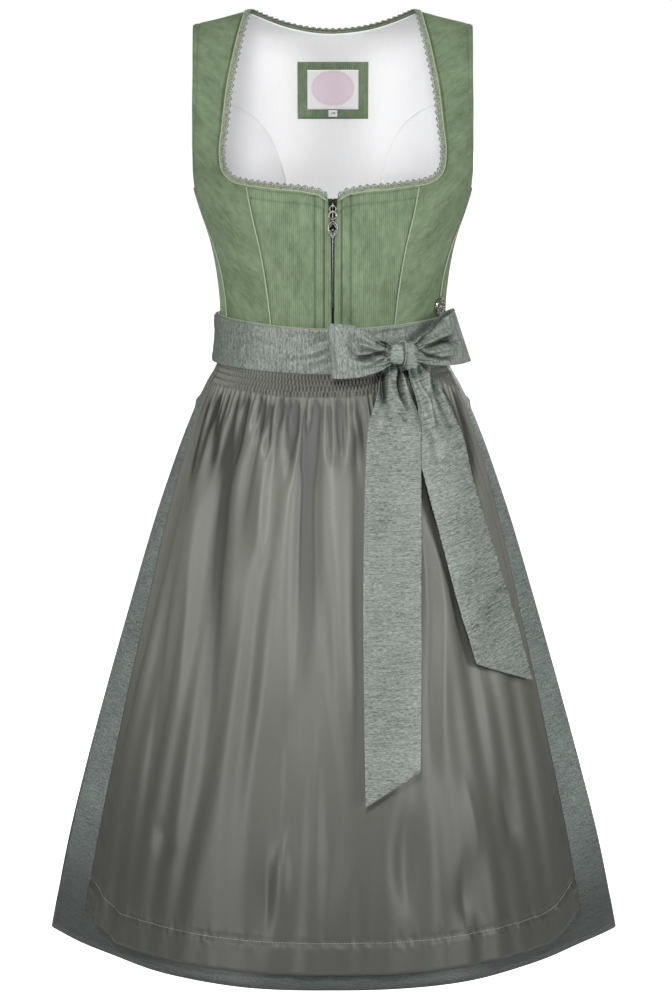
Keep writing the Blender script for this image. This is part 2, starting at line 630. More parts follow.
strap_downs = np.concatenate(
    [
        np.linspace(0.0001, 0.009, 6)[:-1],
        np.linspace(0.009, down_at(-0.16), 54)[:-1],
        np.linspace(down_at(-0.16), down_at(-0.19), 34)[:-1],
        np.linspace(down_at(-0.19), down_at(WAIST_SIDE), 56),
    ]
)[:, None]
strap_inner, strap_outer = strap_inner_edge(strap_downs), side_seam(strap_downs)
strap_width = (strap_outer - strap_inner) / girth_share(1.0, strap_downs)
strap_shares = shares_across(0.062, ROW_STEP)
strap_around = strap_inner + (strap_outer - strap_inner) * strap_shares
strap_down = settle_on_waist(strap_around, strap_downs)
above_corner = smooth_step(height_at(strap_downs), -0.186, -0.178)
above_underarm = smooth_step(height_at(strap_downs), -0.194, -0.186)
from_neck_stitches = strap_shares * strap_width - STITCH_IN_FROM_EDGE
from_arm_stitches = (1 - strap_shares) * strap_width - STITCH_IN_FROM_EDGE
strap_out = seam_dip(strap_shares, strap_width, depth=0.0009)
strap_out = strap_out + 0.0005 * drift(strap_around * 0.2, strap_down, 0.06, 11)
strap_out = strap_out + above_corner * groove(from_neck_stitches)
strap_out = strap_out + above_underarm * groove(from_arm_stitches)
strap_shade = above_corner * stitch_shade(from_neck_stitches)
strap_shade = strap_shade + above_underarm * stitch_shade(from_arm_stitches, 0.15)
strap_shade = np.clip(strap_shade + 0.2 * smooth_step(height_at(strap_down), -0.21, -0.08), 0, 1)
strap_points = on_form(strap_around, strap_down, strap_out)
strap_cut = turned_cut(cut_on_form(strap_around, strap_down), SIDE_WALE_DEGREES)
cloth_pair("front_side", strap_points, strap_cut, strap_shade, "corduroy", BODICE_WALL, bias_corduroy, white_lining)

# ---- Front centre panels and the placket -----------------------------------------------------------
# Two upright-waled centre panels reach from the princess seams to the placket seams, and two narrow
# placket strips hide the zip's tapes. A facing inside leaves a soft ridge below the neckline.

NeckPoint = namedtuple("NeckPoint", "across height")
NECKLINE = rows_of(
    NeckPoint,
    (0, -0.199), (0.0085, -0.1965), (0.0135, -0.1925), (0.035, -0.1885), (0.058, -0.187), (0.0945, -0.1828),
)
PLACKET_INNER_EDGE = rows_of(
    Edge,
    (-0.35, 0.0013), (-0.275, 0.0017), (-0.223, 0.0022), (-0.213, 0.0043), (-0.205, 0.0046), (-0.197, 0.0054),
)
PLACKET_EDGE = 0.0195
PLACKET_STITCHES = 0.0095
FACING_DEPTH = 0.016
FRONT_TOP = -0.1828


def neckline_height(across):
    return read_table(NECKLINE, "height", np.abs(across))


def placket_seam(down):
    return around_at(PLACKET_EDGE, down)


def placket_inner_edge(down):
    return around_at(read_table(PLACKET_INNER_EDGE, "across", height_at(down)), down)


def front_grid(inner_edge, outer_edge, shares):
    """A front panel's places, with rows that spread up to the neckline: around, down and across."""
    top, waist = down_at(FRONT_TOP), down_at(WAIST_SIDE)
    downs = np.concatenate([np.linspace(top, top + 0.019, 36)[:-1], np.linspace(top + 0.019, waist, 74)])[:, None]
    top_around = inner_edge(np.array([top])) * (1 - shares) + outer_edge(np.array([top])) * shares
    neck = down_at(neckline_height(on_form(top_around, top)[:, 0]))
    spread = waist - (waist - downs) * (waist - neck) / (waist - top)
    around = inner_edge(spread) * (1 - shares) + outer_edge(spread) * shares
    return around, spread


for panel, inner_edge, outer_edge, width in (
    ("front_placket", placket_inner_edge, placket_seam, PLACKET_EDGE - 0.0018),
    ("front_centre", placket_seam, princess_seam, 0.062),
):
    panel_shares = shares_across(width, 0.0006 if panel == "front_placket" else ROW_STEP)
    panel_around, panel_spread = front_grid(inner_edge, outer_edge, panel_shares)
    panel_down = settle_on_waist(panel_around, panel_spread)
    panel_across = on_form(panel_around, panel_down)[..., 0]
    below_neck = panel_down - down_at(neckline_height(panel_across))
    panel_out = seam_dip(panel_shares, width, depth=0.0013)
    panel_out = panel_out + groove(below_neck - STITCH_IN_FROM_EDGE) - 0.0005 * smooth_step(below_neck, 0.004, 0)
    panel_out += 0.0013 * (1 - smooth_step(below_neck, FACING_DEPTH - 0.0012, FACING_DEPTH + 0.0012))
    panel_out += groove(below_neck - FACING_DEPTH, 0.0007, 0.0022)
    panel_out += groove(panel_across - PLACKET_STITCHES, 0.0012, 0.0009)
    panel_out += 0.0004 * drift(panel_across, panel_down, 0.05, 12)
    if panel == "front_placket":
        panel_out += 0.0006 * np.exp(-(((panel_across - 0.0018) / 0.0022) ** 2))
    panel_hollow = stitch_shade(below_neck - STITCH_IN_FROM_EDGE, 0.4)
    panel_hollow = panel_hollow + stitch_shade(below_neck - FACING_DEPTH, 0.2, 0.0014)
    panel_hollow = panel_hollow + stitch_shade(panel_across - PLACKET_STITCHES, 0.6)
    panel_hollow = panel_hollow + stitch_shade(panel_across - PLACKET_EDGE, 0.4, 0.0011)
    panel_points = on_form(panel_around, panel_down, panel_out)
    panel_cut = np.stack([panel_across, -panel_down], axis=-1)
    panel_hollow = np.clip(panel_hollow, 0, 1)
    cloth_pair(panel, panel_points, panel_cut, panel_hollow, "corduroy", BODICE_WALL, corduroy, white_lining)

# ---- Back panels and the lining --------------------------------------------------------------------
# The back is three panels: a middle one that runs up into both straps, and two side panels under curved
# seams. The same three panels in white cotton line it, and show through the neck opening.

BACK_SEAM = rows_of(
    Edge,
    (-0.35, 0.041), (-0.25, 0.0465), (-0.194, 0.0535), (-0.16, 0.0625), (-0.135, 0.0745), (-0.12, 0.0875),
    (-0.107, 0.108), (-0.095, 0.15),
)
LINING_OUT = -0.0033
JUST_BEHIND = 1e-6
LINING_WALL = 0.0008
LINING_SHADE = 0.38
BACK_SIDE_WALE_DEGREES = -20


def back_seam(down):
    """The back's curved seam, from the armhole down to the waist."""
    return around_at(read_table(BACK_SEAM, "across", height_at(down)), down, face=1)


def back_neck_down(across):
    """How far down the back neckline lies: lowest in the middle, at the shoulder line where the straps start."""
    height = -BACK_NECK_DROP * (1 - (across / NECK_HALF_WIDTH) ** 2)
    return np.where(np.abs(across) < NECK_HALF_WIDTH, down_at(height), 0)


SEAM_TOP = -0.0952
seam_rows = np.concatenate(
    [np.linspace(down_at(SEAM_TOP), down_at(-0.12), 46)[:-1], np.linspace(down_at(-0.12), down_at(WAIST_SIDE), 76)]
)
back_rows = np.concatenate(
    [
        np.linspace(0.0001, down_at(-0.085), 36)[:-1],
        np.linspace(down_at(-0.085), down_at(SEAM_TOP), 8)[:-1],
        seam_rows,
    ]
)[:, None]
back_shares = 2 * shares_across(0.18, 0.0034) - 1
seam_shown = height_at(back_rows) > BACK_SEAM[-1].height
for name, out, slot, material, wall in (
    ("back_centre", 0.0, "corduroy", corduroy, BODICE_WALL),
    ("lining_back", LINING_OUT, "lining", white_lining, LINING_WALL),
):
    half_turn = np.where(seam_shown, 1 - JUST_BEHIND, 2 - back_seam(back_rows))
    half_width = half_turn / girth_share(1.0, back_rows, 1)
    back_turned = half_turn * back_shares
    level_across = on_form(2 + back_turned, back_rows + 0 * back_shares)[..., 0]
    neck_fade = np.clip(1 - back_rows / BACK_NECK_FADE, 0, 1)
    back_down = settle_on_waist(2 + back_turned, back_rows + back_neck_down(level_across) * neck_fade)
    from_neck = back_down - back_neck_down(level_across)
    relief = seam_dip((back_shares + 1) / 2, 2 * half_width, depth=0.0003 if out else 0.0008)
    relief = relief + 0.0006 * drift(back_turned * 0.2, back_down, 0.07, 13)
    if out == 0:
        in_neck = np.abs(level_across) < NECK_HALF_WIDTH - 0.004
        relief = relief + np.where(in_neck, groove(from_neck - STITCH_IN_FROM_EDGE), 0)
        upper = smooth_step(height_at(back_rows), -0.094, -0.088)
        relief = relief + upper * groove((1 - np.abs(back_shares)) * half_width - STITCH_IN_FROM_EDGE)
    cloth(
        f"{name}_cloth",
        on_form(2 + back_turned, back_down, out + relief),
        cut_on_form(2 + back_turned, back_down),
        slot,
        wall,
        material,
        replaces=[name],
        hollow=LINING_SHADE * smooth_step(np.abs(level_across), 0.045, 0.105) * (out < 0),
    )

side_rows = seam_rows[:, None]
side_shares = shares_across(0.09, 0.0032)
for name, out, slot, material, wall in (
    ("back_side", 0.0, "corduroy", corduroy, BODICE_WALL),
    ("lining_side", LINING_OUT, "lining", white_lining, LINING_WALL),
):
    inner = np.where(side_rows < down_at(UNDERARM), 1 + JUST_BEHIND, side_seam(side_rows))
    outer = back_seam(side_rows)
    side_around = inner + (outer - inner) * side_shares
    side_width = (outer - inner) / girth_share(1.0, side_rows, 1)
    side_down = settle_on_waist(side_around, side_rows)
    relief = seam_dip(side_shares, side_width, depth=0.0003 if out else 0.0009)
    relief = relief + 0.0005 * drift(side_around * 0.2, side_down, 0.06, 14)
    if out == 0:
        armhole = smooth_step(height_at(side_rows), -0.194, -0.186)
        relief = relief + armhole * groove(side_shares * side_width - STITCH_IN_FROM_EDGE)
    side_points = on_form(side_around, side_down, out + relief)
    side_shade = LINING_SHADE * smooth_step(np.abs(side_points[..., 0]), 0.045, 0.105) * (out < 0)
    side_cut = cut_on_form(side_around, side_down)
    if out == 0:
        side_cut = turned_cut(side_cut, BACK_SIDE_WALE_DEGREES)
    for word, points, cut in (("right", side_points, side_cut), ("left", *mirrored(side_points, side_cut))):
        replaced = f"{name}_{word}"
        cloth(f"{replaced}_cloth", points, cut, slot, wall, material, replaces=[replaced], hollow=side_shade)

# ---- Pipings ---------------------------------------------------------------------------------------
# A thin cord covered in bias cloth is sewn into each front seam, and another round the waist above the
# sash. The cords look lighter than the panels, with a dark line where the cloth turns under.

PIPING_RADIUS = 0.0009
PIPING_STEP = 0.003
BUTTON_RADIUS = 0.0105
BUTTON_HEIGHT = -0.3212


def ring_faces(rings, sides, closed):
    """Quads between rings of vertices, with fans at the ends where the cord isn't closed."""
    faces = []
    for ring in range(rings if closed else rings - 1):
        upper, lower = ring * sides, (ring + 1) % rings * sides
        faces += [(upper + k, upper + (k + 1) % sides, lower + (k + 1) % sides, lower + k) for k in range(sides)]
    if not closed:
        faces += [tuple(range(sides))[::-1], tuple(range((rings - 1) * sides, rings * sides))]
    return faces


def cord_part(points, radius, sides=8, closed=False):
    """A round cord's vertices and faces along a path; the radius may change along it."""
    points = np.asarray(points, float)
    if closed:
        tangents = np.roll(points, -1, axis=0) - np.roll(points, 1, axis=0)
    else:
        tangents = np.gradient(points, axis=0)
    tangents /= np.linalg.norm(tangents, axis=1)[:, None]
    start = np.cross(tangents[0], (0.31, 0.52, 0.79))
    side = start / np.linalg.norm(start)
    radii = np.broadcast_to(radius, len(points))
    turn = np.arange(sides) * 2 * math.pi / sides
    rings = []
    for point, tangent, thick in zip(points, tangents, radii):
        side = side - tangent * (side @ tangent)
        side /= np.linalg.norm(side)
        other = np.cross(tangent, side)
        rings.append(point + thick * (np.cos(turn)[:, None] * side + np.sin(turn)[:, None] * other))
    faces = ring_faces(len(points), sides, closed)
    return np.concatenate(rings), [face[::-1] for face in faces]


def ball_part(centre, radii, segments=10, rows=7):
    """A rounded bead's vertices and faces."""
    tilt = np.linspace(0, math.pi, rows + 1)[1:-1]
    turn = np.arange(segments) * 2 * math.pi / segments
    ring = np.stack([np.cos(turn), np.sin(turn), np.zeros(segments)], axis=-1)
    verts = [(0, 0, 1)] + [tuple(v) for t in tilt for v in ring * math.sin(t) + (0, 0, math.cos(t))] + [(0, 0, -1)]
    last = len(verts) - 1
    faces = [(0, 1 + k, 1 + (k + 1) % segments) for k in range(segments)]
    for row in range(len(tilt) - 1):
        a, b = 1 + row * segments, 1 + (row + 1) * segments
        faces += [(a + k, b + k, b + (k + 1) % segments, a + (k + 1) % segments) for k in range(segments)]
    a = last - segments
    faces += [(last, a + (k + 1) % segments, a + k) for k in range(segments)]
    return np.array(verts) * radii + np.asarray(centre), faces


def mesh_of(name, parts, recalculate=False):
    """One mesh of several parts."""
    verts, faces, count = [], [], 0
    for part_verts, part_faces in parts:
        verts.append(part_verts)
        faces += [tuple(index + count for index in face) for face in part_faces]
        count += len(part_verts)
    mesh = bpy.data.meshes.new(name)
    mesh.from_pydata(np.concatenate(verts), [], faces)
    if recalculate:
        shaped = bmesh.new()
        shaped.from_mesh(mesh)
        bmesh.ops.recalc_face_normals(shaped, faces=shaped.faces)
        shaped.to_mesh(mesh)
        shaped.free()
    mesh.shade_smooth()
    return mesh


cord_cloth, cord_tree, cord_shader = new_material("piping_cloth", 0.75, Sheen_Weight=0.3)
cord_grain = stretched_noise(cord_tree, object_place(cord_tree), (900, 900, 900), 2.0)
cord_colour = colour_mix(cord_tree, cord_grain, (0.23, 0.29, 0.18), (0.42, 0.49, 0.34))
paint(cord_tree, cord_shader, cord_colour, cord_grain, 0.5, 0.0003)

for name, side, seam, top, bottom in (
    ("princess_piping_left", -1, princess_seam, -0.188, -0.3335),
    ("princess_piping_right", 1, princess_seam, -0.188, -0.3335),
    ("side_piping_left", -1, side_seam, -0.1935, -0.3335),
    ("side_piping_right", 1, side_seam, -0.1935, BUTTON_HEIGHT + BUTTON_RADIUS + 0.001),
):
    downs = np.linspace(down_at(top), down_at(bottom), 56)
    around = seam(downs)
    points = on_form(around, settle_on_waist(around, downs), 0.0005) * (side, 1, 1)
    mesh = mesh_of(name, [cord_part(points, PIPING_RADIUS * 0.9)])
    show(f"{name}_cord", mesh, "dress", "corduroy", cord_cloth, replaces=[name])
around = np.linspace(-2, 2, 241)[:-1]
points = on_form(around, down_at(waist_height(around)) - PIPING_RADIUS, 0.0016)
mesh = mesh_of("waist_piping", [cord_part(points, 0.0012, closed=True)])
show("waist_piping_cord", mesh, "dress", "corduroy", cord_cloth, replaces=["waist_piping"])

# ---- Stitching -------------------------------------------------------------------------------------
# Rows of lock stitches hold the neck facing, the armholes, the placket and the hems. Each stitch is a
# short loop of thread that sinks at both ends into the dent it makes.


def even_frames(points, normals, step):
    """Even places along a line, with the directions along it and outwards."""
    length = np.concatenate([[0], np.cumsum(np.linalg.norm(np.diff(points, axis=0), axis=1))])
    at = np.linspace(0, length[-1], max(2, int(length[-1] / step)) + 1)
    at = (at[1:] + at[:-1]) / 2
    places = np.column_stack([np.interp(at, length, points[:, k]) for k in range(3)])
    outward = np.column_stack([np.interp(at, length, normals[:, k]) for k in range(3)])
    outward /= np.linalg.norm(outward, axis=1)[:, None]
    along = np.gradient(places, axis=0)
    return places, along / np.linalg.norm(along, axis=1)[:, None], outward


def path_frames(around, down, out, step):
    """Even frames along a path on the form."""
    points = on_form(around, down, out)
    return even_frames(points, on_form(around, down, out + 0.001) - points, step)


# The tree that sets a small item at every place of a path, scaled by Size, with Y along and Z outwards.
repeat_tree = bpy.data.node_groups.new("items_along_a_path", "GeometryNodeTree")
for socket, kind in (("Places", "Geometry"), ("Item", "Object"), ("Size", "Vector"), ("Finish", "Material")):
    repeat_tree.interface.new_socket(socket, in_out="INPUT", socket_type="NodeSocket" + kind)
repeat_tree.interface.new_socket("Items", in_out="OUTPUT", socket_type="NodeSocketGeometry")
repeat_in = repeat_tree.nodes.new("NodeGroupInput").outputs
item_shape = node(repeat_tree, "GeometryNodeObjectInfo", {"Object": repeat_in["Item"]}).outputs["Geometry"]
item_along = node(repeat_tree, "GeometryNodeInputNamedAttribute", {"Name": "along"}, data_type="FLOAT_VECTOR")
item_outward = node(repeat_tree, "GeometryNodeInputNamedAttribute", {"Name": "outward"}, data_type="FLOAT_VECTOR")
item_turn = node(
    repeat_tree,
    "FunctionNodeAxesToRotation",
    {"Primary Axis": item_along.outputs[0], "Secondary Axis": item_outward.outputs[0]},
    primary_axis="Y",
    secondary_axis="Z",
)
item_places = {"Points": repeat_in["Places"], "Instance": item_shape, "Rotation": item_turn.outputs[0]}
item_copies = node(repeat_tree, "GeometryNodeInstanceOnPoints", {**item_places, "Scale": repeat_in["Size"]})
item_meshes = node(repeat_tree, "GeometryNodeRealizeInstances", {"Geometry": item_copies.outputs[0]})
item_finish = node(
    repeat_tree, "GeometryNodeSetMaterial", {"Geometry": item_meshes.outputs[0], "Material": repeat_in["Finish"]}
)
repeat_tree.links.new(item_finish.outputs[0], repeat_tree.nodes.new("NodeGroupOutput").inputs["Items"])
REPEAT_INPUTS = {item.name: item.identifier for item in repeat_tree.interface.items_tree if item.in_out == "INPUT"}


def repeated(name, item_mesh, frames, size, body, slot, material, replaces=()):
    """Copies of an item at every frame of some paths, as one plain mesh."""
    places, along, outward = (np.concatenate(found) for found in zip(*frames))
    mesh = bpy.data.meshes.new(name + "_places")
    mesh.from_pydata(places, [], [])
    for key, vectors in (("along", along), ("outward", outward)):
        mesh.attributes.new(key, "FLOAT_VECTOR", "POINT").data.foreach_set("vector", vectors.astype(np.float32).ravel())
    item = bpy.data.objects.new(name + "_item", item_mesh)
    holder = bpy.data.objects.new(name + "_path", mesh)
    bpy.context.scene.collection.objects.link(holder)
    copies = holder.modifiers.new("copies", "NODES")
    copies.node_group = repeat_tree
    copies[REPEAT_INPUTS["Item"]] = item
    copies[REPEAT_INPUTS["Size"]] = size
    copies[REPEAT_INPUTS["Finish"]] = material
    made = bpy.data.meshes.new_from_object(holder.evaluated_get(bpy.context.evaluated_depsgraph_get()))
    holder.modifiers.clear()
    bpy.data.objects.remove(holder)
    bpy.data.objects.remove(item)
    made.name = name
    made.shade_smooth()
    made.materials.clear()
    return show(name, made, body, slot, material, replaces=replaces)


stitch_path = np.array([(0, y, z) for y, z in ((-0.5, -0.6), (-0.34, 0.1), (0, 0.32), (0.34, 0.1), (0.5, -0.6))])
stitch_item = mesh_of("stitch", [cord_part(stitch_path, (0.16, 0.42, 0.5, 0.42, 0.16), sides=6)])


def thread_material(name, colour, dark):
    material, tree, shader = new_material(name, 0.6, Sheen_Weight=0.2)
    grain = stretched_noise(tree, object_place(tree), (2500,) * 3)
    tree.links.new(colour_mix(tree, grain, dark, colour), shader.inputs["Base Color"])
    return material


bodice_thread = thread_material("bodice_thread", (0.19, 0.25, 0.15), (0.07, 0.1, 0.052))
STITCH_LIFT = -0.0003


def neck_path():
    """The neck opening from left of the zip round the back to right of it: places, ways past the edge and normals."""
    first = [point for point in NECKLINE if point.across > PLACKET_INNER_EDGE[-1].across]
    path = evenly_spaced(np.array([(0.006, -0.1975)] + first), 60)
    strap_down = np.concatenate([down_at(np.linspace(-0.1826, -0.15, 40)), np.linspace(down_at(-0.149), 0.0002, 70)])
    front_around = np.append(around_at(path[:, 0], down_at(path[:, 1])), strap_inner_edge(strap_down))
    front_down = np.append(down_at(path[:, 1]), strap_down)
    across = np.linspace(-0.092, 0.092, 90)
    back_down = np.maximum(back_neck_down(across), 0.0002)
    back_around = around_at(across, back_down, face=1)
    around = np.concatenate([-front_around, back_around, front_around[::-1]])
    down = np.concatenate([front_down, back_down, front_down[::-1]])
    points = on_form(around, down)
    normal = on_form(around, down, 0.001) - points
    past = np.cross(np.gradient(points, axis=0), normal)
    past /= np.linalg.norm(past, axis=1)[:, None]
    return points, past, normal / 0.001


NECK_SMOOTHING = 5
neck_points, neck_past, neck_normal = neck_path()
padded = np.pad(neck_past, ((NECK_SMOOTHING // 2, NECK_SMOOTHING // 2), (0, 0)), mode="edge")
kernel = np.ones(NECK_SMOOTHING) / NECK_SMOOTHING
neck_past = np.column_stack([np.convolve(padded[:, k], kernel, mode="valid") for k in range(3)])


def neck_frames(inset, out, step):
    """Even frames along the neck opening, `inset` metres outside its edge and `out` above the cloth."""
    return even_frames(neck_points - inset * neck_past + out * neck_normal, neck_normal, step)


STITCH_PITCH = 0.003
bodice_rows = [neck_frames(STITCH_IN_FROM_EDGE, STITCH_LIFT, STITCH_PITCH)]
placket_downs = np.linspace(down_at(-0.2), down_at(WAIST_SIDE), 60)
for across in (-PLACKET_STITCHES, PLACKET_STITCHES):
    around = around_at(across, placket_downs)
    bodice_rows.append(path_frames(around, settle_on_waist(around, placket_downs), STITCH_LIFT, STITCH_PITCH))
armhole_downs = np.linspace(0.004, down_at(UNDERARM), 80)
for side in (-1, 1):
    front_turn = 1 - girth_share(STITCH_IN_FROM_EDGE, armhole_downs)
    back_turn = 1 + girth_share(STITCH_IN_FROM_EDGE, armhole_downs, 1)
    for turn in (front_turn, back_turn):
        bodice_rows.append(path_frames(side * turn, armhole_downs, STITCH_LIFT, STITCH_PITCH))
repeated("bodice_stitches", stitch_item, bodice_rows, (0.00042, 0.0022, 0.00042), "dress", "corduroy", bodice_thread)

# ---- Neck braid ------------------------------------------------------------------------------------
# A narrow cotton braid is sewn round the neck opening, over the edge of the cloth. It has a row of small
# scallops with a knot in each that stand past the edge, and a twisted yellow-green cord along its foot.

BRAID_FOOT, BRAID_EDGE = 0.0034, -0.001
BRAID_LIFT = 0.001
SCALLOP_PITCH = 0.0074
braid, braid_tree, braid_shader = new_material("neck_braid", 0.8, Sheen_Weight=0.25)
braid_place = object_place(braid_tree)
braid_grain = stretched_noise(braid_tree, braid_place, (1400, 1400, 1400), 2.0)
braid_patch = stretched_noise(braid_tree, braid_place, (420, 420, 420), 1.0)
braid_share = off_middle(braid_tree, braid_patch, 1.4, braid_grain, clamp=True)
braid_colour = colour_mix(braid_tree, braid_share, (0.085, 0.103, 0.07), (0.33, 0.365, 0.275))
paint(braid_tree, braid_shader, braid_colour, braid_grain, 0.8, 0.0005)
braid_cord = thread_material("braid_cord", (0.47, 0.53, 0.35), (0.23, 0.28, 0.15))

STRIP_STEP, FOOT_STEP, FOOT_TWIST = 0.0018, 0.0005, 0.0026
places, along, outward = neck_frames(0, 0, STRIP_STEP)
past = np.cross(along, outward)
strip_offsets = np.linspace(-BRAID_FOOT, -BRAID_EDGE, 8)
strip_rise = BRAID_LIFT + 0.0003 * np.sin(np.linspace(0, math.pi, 8)) + 0.0002 * (np.arange(8) % 2)
strip = places[None] + strip_offsets[:, None, None] * past[None] + strip_rise[:, None, None] * outward[None]
strip_cut = np.stack(np.broadcast_arrays(np.arange(len(places))[None] * STRIP_STEP, strip_offsets[:, None]), axis=-1)
foot_places, _, foot_outward = neck_frames(BRAID_FOOT, 0.0009, FOOT_STEP)
foot_turn = np.arange(len(foot_places)) * FOOT_STEP * 2 * math.pi / FOOT_TWIST
foot_past = np.cross(np.gradient(foot_places, axis=0), foot_outward)
foot_past /= np.linalg.norm(foot_past, axis=1)[:, None]
strands = []
for phase in (0, math.pi):
    swing = np.cos(foot_turn + phase)[:, None] * foot_past + np.sin(foot_turn + phase)[:, None] * foot_outward
    strands.append(cord_part(foot_places + 0.00042 * swing, 0.00048, sides=6))
braid_foot = show("neck_braid_cord", mesh_of("neck_braid_cord", strands), "dress", "braid", braid_cord)

arch_turn = np.linspace(0.02, 0.98, 9) * math.pi
arch = np.stack([0.0031 * np.sin(arch_turn) ** 0.8, 0.0033 * np.cos(arch_turn), 0 * arch_turn], axis=-1)
scallop_parts = [
    cord_part(arch, 0.00062, sides=5),
    ball_part((0.0011, 0, 0.0002), (0.0012, 0.0016, 0.0008), 7, 4),
    ball_part((0.0038, 0, 0), (0.0007, 0.0008, 0.0006), 6, 4),
    ball_part((-0.0006, 0.0036, 0.0003), (0.0009, 0.0008, 0.0007), 6, 4),
]
scallop_frames = neck_frames(-0.0002, BRAID_LIFT - 0.0002, SCALLOP_PITCH)
braid_scallops = repeated(
    "neck_braid_scallops", mesh_of("scallop", scallop_parts), [scallop_frames], (1, 1, 1), "dress", "braid", braid
)
trims = ["neck_trim_left", "neck_trim_right", "neck_trim_back"]
with_strip = [braid_foot, braid_scallops]
cloth("neck_braid_strip", strip, strip_cut, "braid", 0.0006, braid, replaces=trims, with_pieces=with_strip)

# ---- Label -----------------------------------------------------------------------------------------
# A corduroy frame is sewn inside the back below the neck. In it lies a white woven label with a plain
# pink oval, and below that a small white tab with the size number.

LABEL_FRAME_BOX = (-0.04, 0.04, -0.055, -0.12)
LABEL_BOX = (-0.029, 0.029, -0.064, -0.1095)
SIZE_TAB_BOX = (-0.005, 0.005, -0.11, -0.1175)
LABEL_FRAME_OUT = -0.0046
LABEL_OUT = -0.0052
SIZE_NUMBER = "36"


def patch_places(box, steps, rows):
    """Places of a flat patch on the back's lining, from its right edge to its left, top to bottom."""
    left, right, top, bottom = box
    across = np.linspace(left, right, steps)[None, :] + np.zeros((rows, 1))
    height = np.linspace(top, bottom, rows)[:, None] + np.zeros((1, steps))
    down = down_at(height)
    return across, height, around_at(across, down, face=1), down


def box_edge(across, height, box):
    """How far inside a box a place is; negative outside it."""
    left, right, top, bottom = box
    return np.minimum(np.minimum(across - left, right - across), np.minimum(top - height, height - bottom))


across, height, around, down = patch_places(LABEL_FRAME_BOX, 90, 74)
outer_edge, inner_edge = box_edge(across, height, LABEL_FRAME_BOX), box_edge(across, height, LABEL_BOX)
rise = 0.0011 * smooth_step(outer_edge, 0, 0.0012) - 0.0009 * smooth_step(inner_edge, -0.0016, -0.0002)
rise += groove(inner_edge + 0.0026, 0.0003, 0.0006) + groove(outer_edge - 0.0018, 0.0002, 0.0006)
frame_points, frame_cut = on_form(around, down, LABEL_FRAME_OUT - rise), np.stack([across, height], axis=-1)
cloth("label_frame_cloth", frame_points, frame_cut, "corduroy", 0.0004, corduroy, replaces=["label_frame"])

label_cloth, label_tree, label_shader = new_material("label_cloth", 0.45, Sheen_Weight=0.1)
label_place = object_place(label_tree)
label_parts = node(label_tree, "ShaderNodeSeparateXYZ", {0: label_place}).outputs
OVAL_MIDDLE, OVAL_HALF_WIDTH, OVAL_HALF_HEIGHT = -0.0862, 0.0243, 0.02
oval_x = maths(label_tree, "DIVIDE", label_parts["X"], OVAL_HALF_WIDTH)
oval_z = maths(label_tree, "DIVIDE", maths(label_tree, "SUBTRACT", label_parts["Z"], OVAL_MIDDLE), OVAL_HALF_HEIGHT)
oval_x, oval_z = (maths(label_tree, "MULTIPLY", way, way) for way in (oval_x, oval_z))
oval_far = maths(label_tree, "SQRT", maths(label_tree, "ADD", oval_x, oval_z))
oval_share = maths(label_tree, "MULTIPLY_ADD", oval_far, 25.0, -24.5, clamp=True)
from_rim = maths(label_tree, "ABSOLUTE", maths(label_tree, "SUBTRACT", oval_far, 0.9))
oval_rim = maths(label_tree, "MULTIPLY_ADD", from_rim, -40.0, 1.0, clamp=True)
oval_pink = colour_mix(label_tree, oval_rim, (0.8, 0.67, 0.745), (0.73, 0.56, 0.65))
label_colour = colour_mix(label_tree, oval_share, oval_pink, (0.86, 0.85, 0.86))
label_weave = stretched_noise(label_tree, label_place, (1200, 1200, 500), 1.0)
paint(label_tree, label_shader, label_colour, label_weave, 0.3, 0.0002)

for name, box, replaced in (("label_patch", LABEL_BOX, "label"), ("size_tab_patch", SIZE_TAB_BOX, "size_tab")):
    across, height, around, down = patch_places(box, 40, 34)
    edge = box_edge(across, height, box)
    rise = 0.0004 * smooth_step(edge, 0, 0.0006) + 0.0001 * drift(across, height, 0.02, 71)
    out = LABEL_OUT - rise - (0.001 if name == "size_tab_patch" else 0)
    cut = np.stack([across, height], axis=-1)
    cloth(name, on_form(around, down, out), cut, "label_cloth", 0.0003, label_cloth, replaces=[replaced])

label_print = thread_material("label_print", (0.045, 0.045, 0.055), (0.03, 0.03, 0.04))
number_curve = bpy.data.curves.new("size_number", "FONT")
number_curve.body = SIZE_NUMBER
number_curve.size = 0.0058
number_curve.align_x = "CENTER"
number_curve.align_y = "CENTER"
number_text = bpy.data.objects.new("size_number", number_curve)
bpy.context.scene.collection.objects.link(number_text)
number_mesh = bpy.data.meshes.new_from_object(number_text.evaluated_get(bpy.context.evaluated_depsgraph_get()))
bpy.data.objects.remove(number_text)
number_height = (SIZE_TAB_BOX[2] + SIZE_TAB_BOX[3]) / 2
tab_down = down_at(number_height)
tab_face = on_form(2.0, tab_down, LABEL_OUT - 0.0016)
for vertex in number_mesh.vertices:
    vertex.co = (vertex.co.x, tab_face[1], number_height + vertex.co.y)
show("size_number_print", number_mesh, "dress", "label_cloth", label_print)

# A row of tiny stitches holds the frame down all round.
FRAME_STITCH_INSET = 0.0018
frame_rows = []
left, right, top, bottom = np.array(LABEL_FRAME_BOX) + np.array([1, -1, -1, 1]) * FRAME_STITCH_INSET
corners = ((left, top), (right, top), (right, bottom), (left, bottom), (left, top))
for start, end in zip(corners, corners[1:]):
    line = np.linspace(start, end, 30)
    line_down = down_at(line[:, 1])
    line_around = around_at(line[:, 0], line_down, face=1)
    places, along, outward = path_frames(line_around, line_down, LABEL_FRAME_OUT - 0.0011, 0.0026)
    frame_rows.append((places, along, -outward))
repeated("label_stitches", stitch_item, frame_rows, (0.00035, 0.0019, 0.00035), "dress", "corduroy", bodice_thread)

# ---- Zip -------------------------------------------------------------------------------------------
# A fine metal zip closes the front behind the placket: two woven tapes with interlocked teeth, and an
# old-silver slider at the top whose bridge carries the pull.

